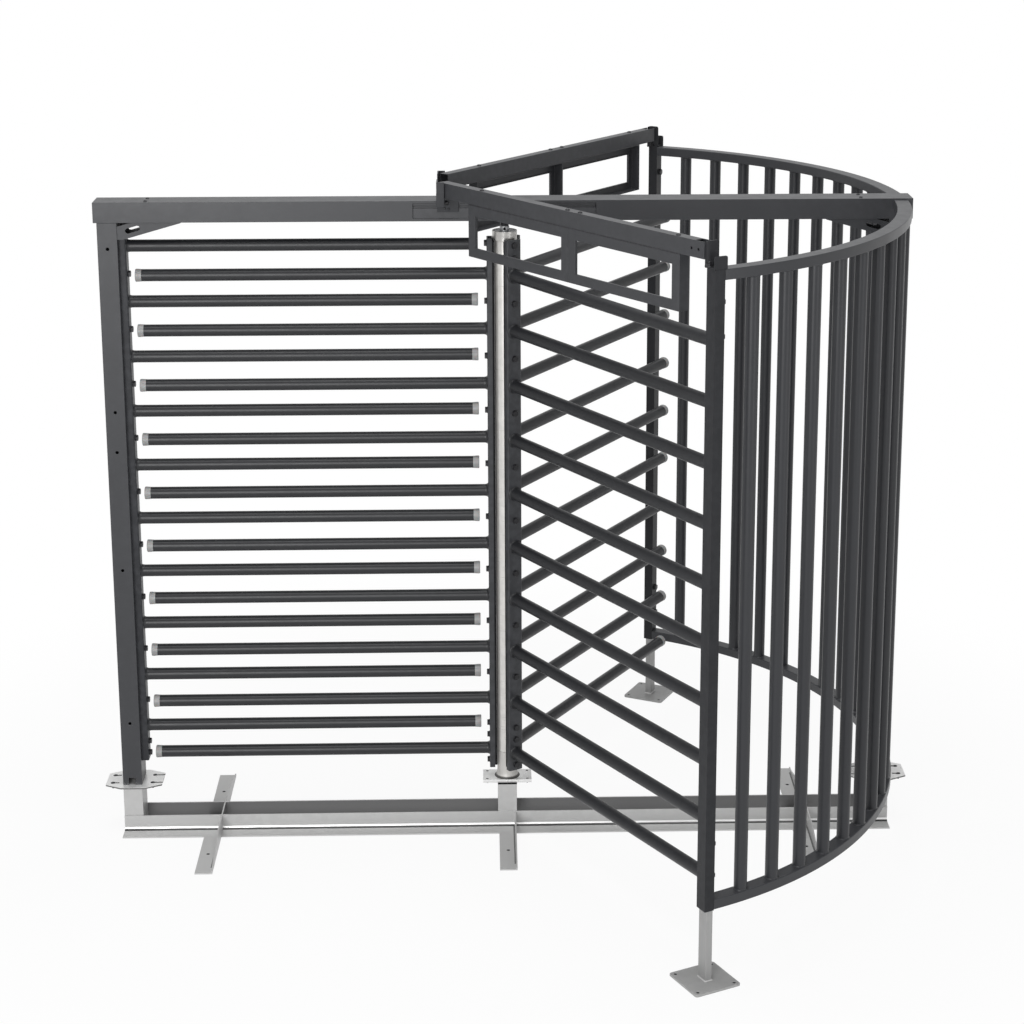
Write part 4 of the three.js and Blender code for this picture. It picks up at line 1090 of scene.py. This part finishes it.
class TURNSTILE_OT_shaft(bpy.types.Operator):
    """Makes the rotor shaft with its cup and spindle, and the pedestal under it"""

    bl_idname = "turnstile.shaft"
    bl_label = "Shaft and pedestal"

    def execute(self, context):
        self.shaft()
        self.cup()
        self.pedestal()
        ease = 0.0006
        eased_copy("rotor_spindle", ease, "machined_steel", "rotor", spindle_steel)
        screw = bmesh.new()
        domed_bolt(screw, 0.005, pointing((0.0, -0.0172, 2.253), FORWARD), 0.3)
        piece_from("hub_screw", screw, "fastener", "rotor", finish=black_and_shade_coat)
        eased_copy("bottom_bearing", ease, "machined_steel", "frame")
        return {"FINISHED"}

    def shaft(self):
        """The tube, with its edges eased."""
        size = sizes()
        low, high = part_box("rotor_shaft")
        outer = size.shaft_diameter / 2.0
        bore = outer - size.shaft_wall
        ease = size.shaft_wall * 0.4
        profile = [
            (bore, low.z), (outer - ease, low.z), (outer, low.z + ease), (outer, high.z - ease),
            (outer - ease, high.z), (bore, high.z)]
        shape = bmesh.new()
        spun(shape, profile, 64, closed=True)
        piece_from("shaft_tube", shape, "shaft_steel", "rotor", ["rotor_shaft"])

    def cup(self):
        """The cup over the tube's head, with a rim and a recess."""
        size = sizes()
        low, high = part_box("rotor_cup")
        outer = high.x
        socket = size.shaft_diameter / 2.0 + size.fit
        shoulder = high.z - size.cup_socket
        floor = high.z - size.cup_recess
        rim = outer - size.cup_rim
        ease = size.cup_rim * 0.3
        profile = [
            (0.0, shoulder), (socket, shoulder), (socket, low.z), (outer - ease, low.z),
            (outer, low.z + ease), (outer, high.z - ease),
            (outer - ease * 0.3, high.z - ease * 0.3), (outer - ease, high.z),
            (rim + ease, high.z), (rim + ease * 0.3, high.z - ease * 0.3), (rim, high.z - ease),
            (rim, floor), (0.0, floor)]
        shape = bmesh.new()
        spun(shape, profile, 64)
        piece_from("shaft_cup", shape, "shaft_steel", "rotor", ["rotor_cup"], polished_steel)

    def pedestal(self):
        """The plate from the CAD shape, and a turned column that flares in a hollow curve to its foot."""
        size = sizes()
        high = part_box("pedestal")[1]
        plate_top, column_top = FLOOR_LEVEL, 0.284
        flat = node_shape("pedestal")
        cut = bmesh.ops.bisect_plane(
            flat, geom=everything(flat), dist=1e-6, plane_co=(0.0, 0.0, plate_top - 0.0002),
            plane_no=UP, clear_outer=True, clear_inner=False)
        rim = [edge for edge in cut["geom_cut"] if isinstance(edge, bmesh.types.BMEdge)]
        bmesh.ops.triangle_fill(flat, use_beauty=True, use_dissolve=True, edges=rim, normal=UP)
        eased(flat, 0.0008)
        piece_from("pedestal_plate", flat, "bare_steel", "frame", ["pedestal"], plate_steel)
        radius = size.shaft_diameter / 2.0
        flare, rise = 0.047, 0.028
        ease = size.shaft_wall * 0.4
        curve = [
            (radius + (flare - radius) * (1.0 - math.cos(turn)), plate_top + rise * (1.0 - math.sin(turn)))
            for turn in (math.radians(90.0 - step * 9.0) for step in range(11))]
        profile = [
            (0.0, plate_top - size.sink), (flare, plate_top - size.sink), *curve,
            (radius, column_top - ease), (radius - ease, column_top), (0.0, column_top)]
        column = bmesh.new()
        spun(column, profile, 64)
        spigot, chamfer = 0.0145, 0.001
        spun(column, [
            (0.0, column_top - size.sink), (spigot, column_top - size.sink), (spigot, high.z - chamfer),
            (spigot - chamfer, high.z), (0.0, high.z)], 32)
        piece_from("pedestal_column", column, "shaft_steel", "frame", ["pedestal"], pedestal_steel)


class TURNSTILE_OT_cage(bpy.types.Operator):
    """Makes both halves of the cage: rings and upright bars"""

    bl_idname = "turnstile.cage"
    bl_label = "Cage"

    def execute(self, context):
        size = sizes()
        radius = size.ring_inner + size.ring_width / 2.0
        for side, sign in (("back", 1.0), ("front", -1.0)):
            node = f"cage_{side}"
            low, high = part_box(node)
            flip = Matrix.Scale(sign, 4, (0.0, 1.0, 0.0))
            rings, bars = bmesh.new(), bmesh.new()
            for foot in (low.z, high.z - size.ring_height):
                self.ring(rings, foot, flip)
            start, end = low.z + size.ring_height, high.z - size.ring_height
            bar, weld = size.bar_diameter / 2.0, 0.0035
            profile = [
                (0.0, start - size.sink), (bar + weld, start - size.sink), (bar + weld, start),
                (bar + weld * 0.35, start + weld * 0.5), (bar, start + weld * 1.3),
                (bar, end - weld * 1.3), (bar + weld * 0.35, end - weld * 0.5), (bar + weld, end),
                (bar + weld, end + size.sink), (0.0, end + size.sink)]
            for step in range(size.bar_count):
                angle = sign * (END_POST_ANGLE - CAGE_BAR_ANGLE * (step + 1))
                middle = Vector((radius * math.cos(angle), radius * math.sin(angle), 0.0))
                spun(bars, profile, size.bar_sides, Matrix.Translation(middle))
            piece_from(f"{node}_rings", rings, "powder_coat", "frame", [node])
            piece_from(f"{node}_bars", bars, "powder_coat", "frame", [node], cage_coat)
        return {"FINISHED"}

    def ring(self, shape, foot, flip):
        """Adds a bent tube between the beam's face and the end post."""
        size = sizes()
        part = bmesh.new()
        inner, outer = size.ring_inner, size.ring_inner + size.ring_width
        top = foot + size.ring_height
        corners = [
            part.verts.new(place)
            for place in ((inner, 0.0, foot), (outer, 0.0, foot), (outer, 0.0, top), (inner, 0.0, top))]
        part.faces.new(corners)
        bevelled(part, corners, size.sheet_edge, 3, "VERTICES")
        profile = list(part.edges)
        bmesh.ops.delete(part, geom=list(part.faces), context="FACES_ONLY")
        bmesh.ops.spin(
            part, geom=list(part.verts) + profile, cent=(0.0, 0.0, 0.0), axis=(0.0, 0.0, 1.0),
            dvec=(0.0, 0.0, 0.0), angle=END_POST_ANGLE, steps=64, use_merge=False,
            use_normal_flip=False, use_duplicate=False)
        beam_face = 0.055
        across = Vector((-math.sin(END_POST_ANGLE), math.cos(END_POST_ANGLE), 0.0))
        post_face = POST_HALF + size.fit
        for place, normal in (((0.0, beam_face, 0.0), (0.0, -1.0, 0.0)), (across * -post_face, across)):
            place, normal = Vector(place), Vector(normal)
            bmesh.ops.bisect_plane(
                part, geom=everything(part), dist=1e-7, plane_co=place, plane_no=normal,
                clear_outer=True, clear_inner=False)
            rim = [edge for edge in part.edges if edge.is_boundary
                   and all(abs((vert.co - place).dot(normal)) < 1e-5 for vert in edge.verts)]
            bmesh.ops.edgeloop_fill(part, edges=rim)
        bmesh.ops.transform(part, matrix=flip, verts=part.verts)
        bmesh.ops.recalc_face_normals(part, faces=part.faces)
        scratch = bpy.data.meshes.new("scratch")
        part.to_mesh(scratch)
        part.free()
        shape.from_mesh(scratch)
        bpy.data.meshes.remove(scratch)


class TURNSTILE_OT_fastenings(bpy.types.Operator):
    """Makes the bolts of the channels, header, saddles, posts, brackets and feet"""

    bl_idname = "turnstile.fastenings"
    bl_label = "Fastenings"

    def execute(self, context):
        self.channel_bolts()
        self.header_bolts()
        self.beam_screws()
        self.end_post_bolts()
        self.foot_bolts()
        return {"FINISHED"}

    def channel_bolts(self):
        """Bolts on the webs of the channels, halfway between two bars and near the ends."""
        size = sizes()
        low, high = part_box("comb")
        half_pitch = size.bar_pitch / 2.0
        gaps = size.bar_count - 1
        wing_levels = [level - half_pitch for level in levels(size.top_wing_bar)[:gaps]]
        comb_levels = [level - half_pitch for level in levels(high.z - size.comb_head)[:gaps]]
        bolts = bmesh.new()
        for angle, _ in WINGS.values():
            turn = Matrix.Rotation(angle, 4, "Z")
            for level in [2.2, 2.154, *wing_levels, 0.345, 0.245]:
                hex_bolt(bolts, size.bolt_diameter, turn @ pointing((WING_WEB, 0.0, level), ALONG))
        piece_from("wing_bolts", bolts, "fastener", "rotor")
        bolts = bmesh.new()
        for level in [*comb_levels, 0.334, 0.289]:
            hex_bolt(bolts, size.bolt_diameter, pointing((low.x + COMB_DEPTH, 0.0, level), ALONG))
        piece_from("comb_bolts", bolts, "fastener", "frame")

    def header_bolts(self):
        """Domed bolts on top of the headers, and the screws and nuts of the saddles and root brackets."""
        bolts = bmesh.new()
        steps = {-1.0: (0.182, 0.656, 0.721, 1.207), 1.0: (0.166, 0.629, 0.705, 1.188)}
        for side, places in steps.items():
            for along in places:
                domed_bolt(bolts, 0.0085, pointing(header_place(along, 0.227, HEADER_TOP, side), UP))
            end = header_turn(side) @ Vector(ALONG)
            spot = header_place(1.3586, 0.2053, 2.4033, side)
            flush_screw(bolts, 0.009, pointing(spot + end * 0.0004, end))
            shelf = post_place(-0.019, -0.0155, 2.359, side)
            nut(bolts, 0.0138, pointing(shelf, UP), 0.006)
            wall, out = side * 0.059, (0.0, side, 0.0)
            for x, z, diameter in (
                    (-0.2017, 2.3526, 0.0085), (-0.2082, 2.3329, 0.005), (-0.194, 2.3314, 0.005)):
                domed_bolt(bolts, diameter, pointing((x, wall, z), out))
            cheek = Vector((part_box("root_bracket_front")[0].x - 0.0004, side * 0.129, 2.395))
            flush_screw(bolts, 0.008, pointing(cheek, (-1.0, 0.0, 0.0)))
        piece_from("header_bolts", bolts, "fastener", "frame")

    def beam_screws(self):
        """Low screws on top of the main beam, over its opening's ends."""
        bolts = bmesh.new()
        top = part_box("main_beam")[1].z
        for x in (-1.251, 1.251):
            for y in (-0.03, 0.03):
                domed_bolt(bolts, 0.007, pointing((x, y, top), UP))
        piece_from("beam_screws", bolts, "fastener", "frame")

    def end_post_bolts(self):
        """Bolts on the inner side of the end posts, and flush screws in the cover on the outer side."""
        bolts = bmesh.new()
        for side in SIDES:
            towards_cage = Vector((math.sin(END_POST_ANGLE), -side * math.cos(END_POST_ANGLE), 0.0))
            for level in (2.252, 2.144, 0.482, 0.372):
                hex_bolt(bolts, 0.0125, pointing(post_place(0.003, POST_HALF, level, side), towards_cage))
            cover = -POST_HALF - sizes().post_skin - 0.0004
            for reach, level, diameter in (
                    (-0.0075, 0.415, 0.011), (-0.0115, 0.997, 0.009), (-0.0085, 2.194, 0.0075)):
                flush_screw(bolts, diameter, pointing(post_place(reach, cover, level, side), -towards_cage))
        piece_from("end_post_bolts", bolts, "fastener", "frame")

    def foot_bolts(self):
        """Bolts of the floor plates, of the pedestal plate, of the cross feet and of the leg plates."""
        bolts = bmesh.new()
        for end in SIDES:
            for x in (1.461, 1.314):
                for y in (-0.034, 0.034):
                    through_bolt(bolts, 0.0088, pointing((end * x, y, FLOOR_LEVEL), UP), 0.021)
        for x in (-0.074, 0.074):
            for y in (-0.036, 0.036):
                flush_screw(bolts, 0.0106, pointing((x, y, FLOOR_LEVEL - 0.0012), UP), 0.016)
        piece_from("plate_bolts", bolts, "fastener", "frame")
        anchors = bmesh.new()
        sheet_top, leg_plate_top = 0.0042, 0.0072
        for x in FOOT_PLACES:
            for y in (-0.273, 0.273):
                flush_screw(anchors, 0.0136, pointing((x, y, sheet_top), UP), sheet_top)
        for side in SIDES:
            for x in (-0.069, 0.069):
                for y in (-0.069, 0.069):
                    spot = post_place(0.0, 0.0, leg_plate_top, side) + post_turn(side) @ Vector((x, y, 0.0))
                    flush_screw(anchors, 0.0106, pointing(spot, UP), leg_plate_top)
        piece_from("anchor_bolts", anchors, "fastener", "frame")


class TURNSTILE_OT_mechanism(bpy.types.Operator):
    """Finishes the locking mechanism in the main beam"""

    bl_idname = "turnstile.mechanism"
    bl_label = "Locking mechanism"

    def execute(self, context):
        for part in frame["record"]["subparts"]:
            node = frame["nodes"][part["node"]]
            if node.hide_render:
                continue
            node.data.materials.clear()
            node.data.materials.append(made(FINISHES[part["material_slot"]]))
        return {"FINISHED"}


OPERATORS = (
    TURNSTILE_OT_stage,
    TURNSTILE_OT_sheetwork,
    TURNSTILE_OT_base,
    TURNSTILE_OT_comb,
    TURNSTILE_OT_wings,
    TURNSTILE_OT_shaft,
    TURNSTILE_OT_cage,
    TURNSTILE_OT_fastenings,
    TURNSTILE_OT_mechanism,
)


class TURNSTILE_PT_panel(bpy.types.Panel):
    """Lists the pieces, sizes and colours of the turnstile"""

    bl_idname = "TURNSTILE_PT_panel"
    bl_label = "Full height turnstile"
    bl_space_type = "VIEW_3D"
    bl_region_type = "UI"
    bl_category = "Turnstile"

    def draw(self, context):
        for operator in OPERATORS:
            self.layout.operator(operator.bl_idname, text=operator.bl_label)
        for group in (context.scene.turnstile_sizes, context.scene.turnstile_colours):
            column = self.layout.column()
            for name in type(group).__annotations__:
                column.prop(group, name)


CLASSES = (TurnstileSizes, TurnstileColours, *OPERATORS, TURNSTILE_PT_panel)


def register():
    for cls in CLASSES:
        bpy.utils.register_class(cls)
    bpy.types.Scene.turnstile_sizes = PointerProperty(type=TurnstileSizes)
    bpy.types.Scene.turnstile_colours = PointerProperty(type=TurnstileColours)


def unregister():
    del bpy.types.Scene.turnstile_colours
    del bpy.types.Scene.turnstile_sizes
    for cls in reversed(CLASSES):
        bpy.utils.unregister_class(cls)


def main():
    register()
    for operator in OPERATORS:
        group, action = operator.bl_idname.split(".")
        getattr(getattr(bpy.ops, group), action)()


if __name__ == "__main__":
    main()
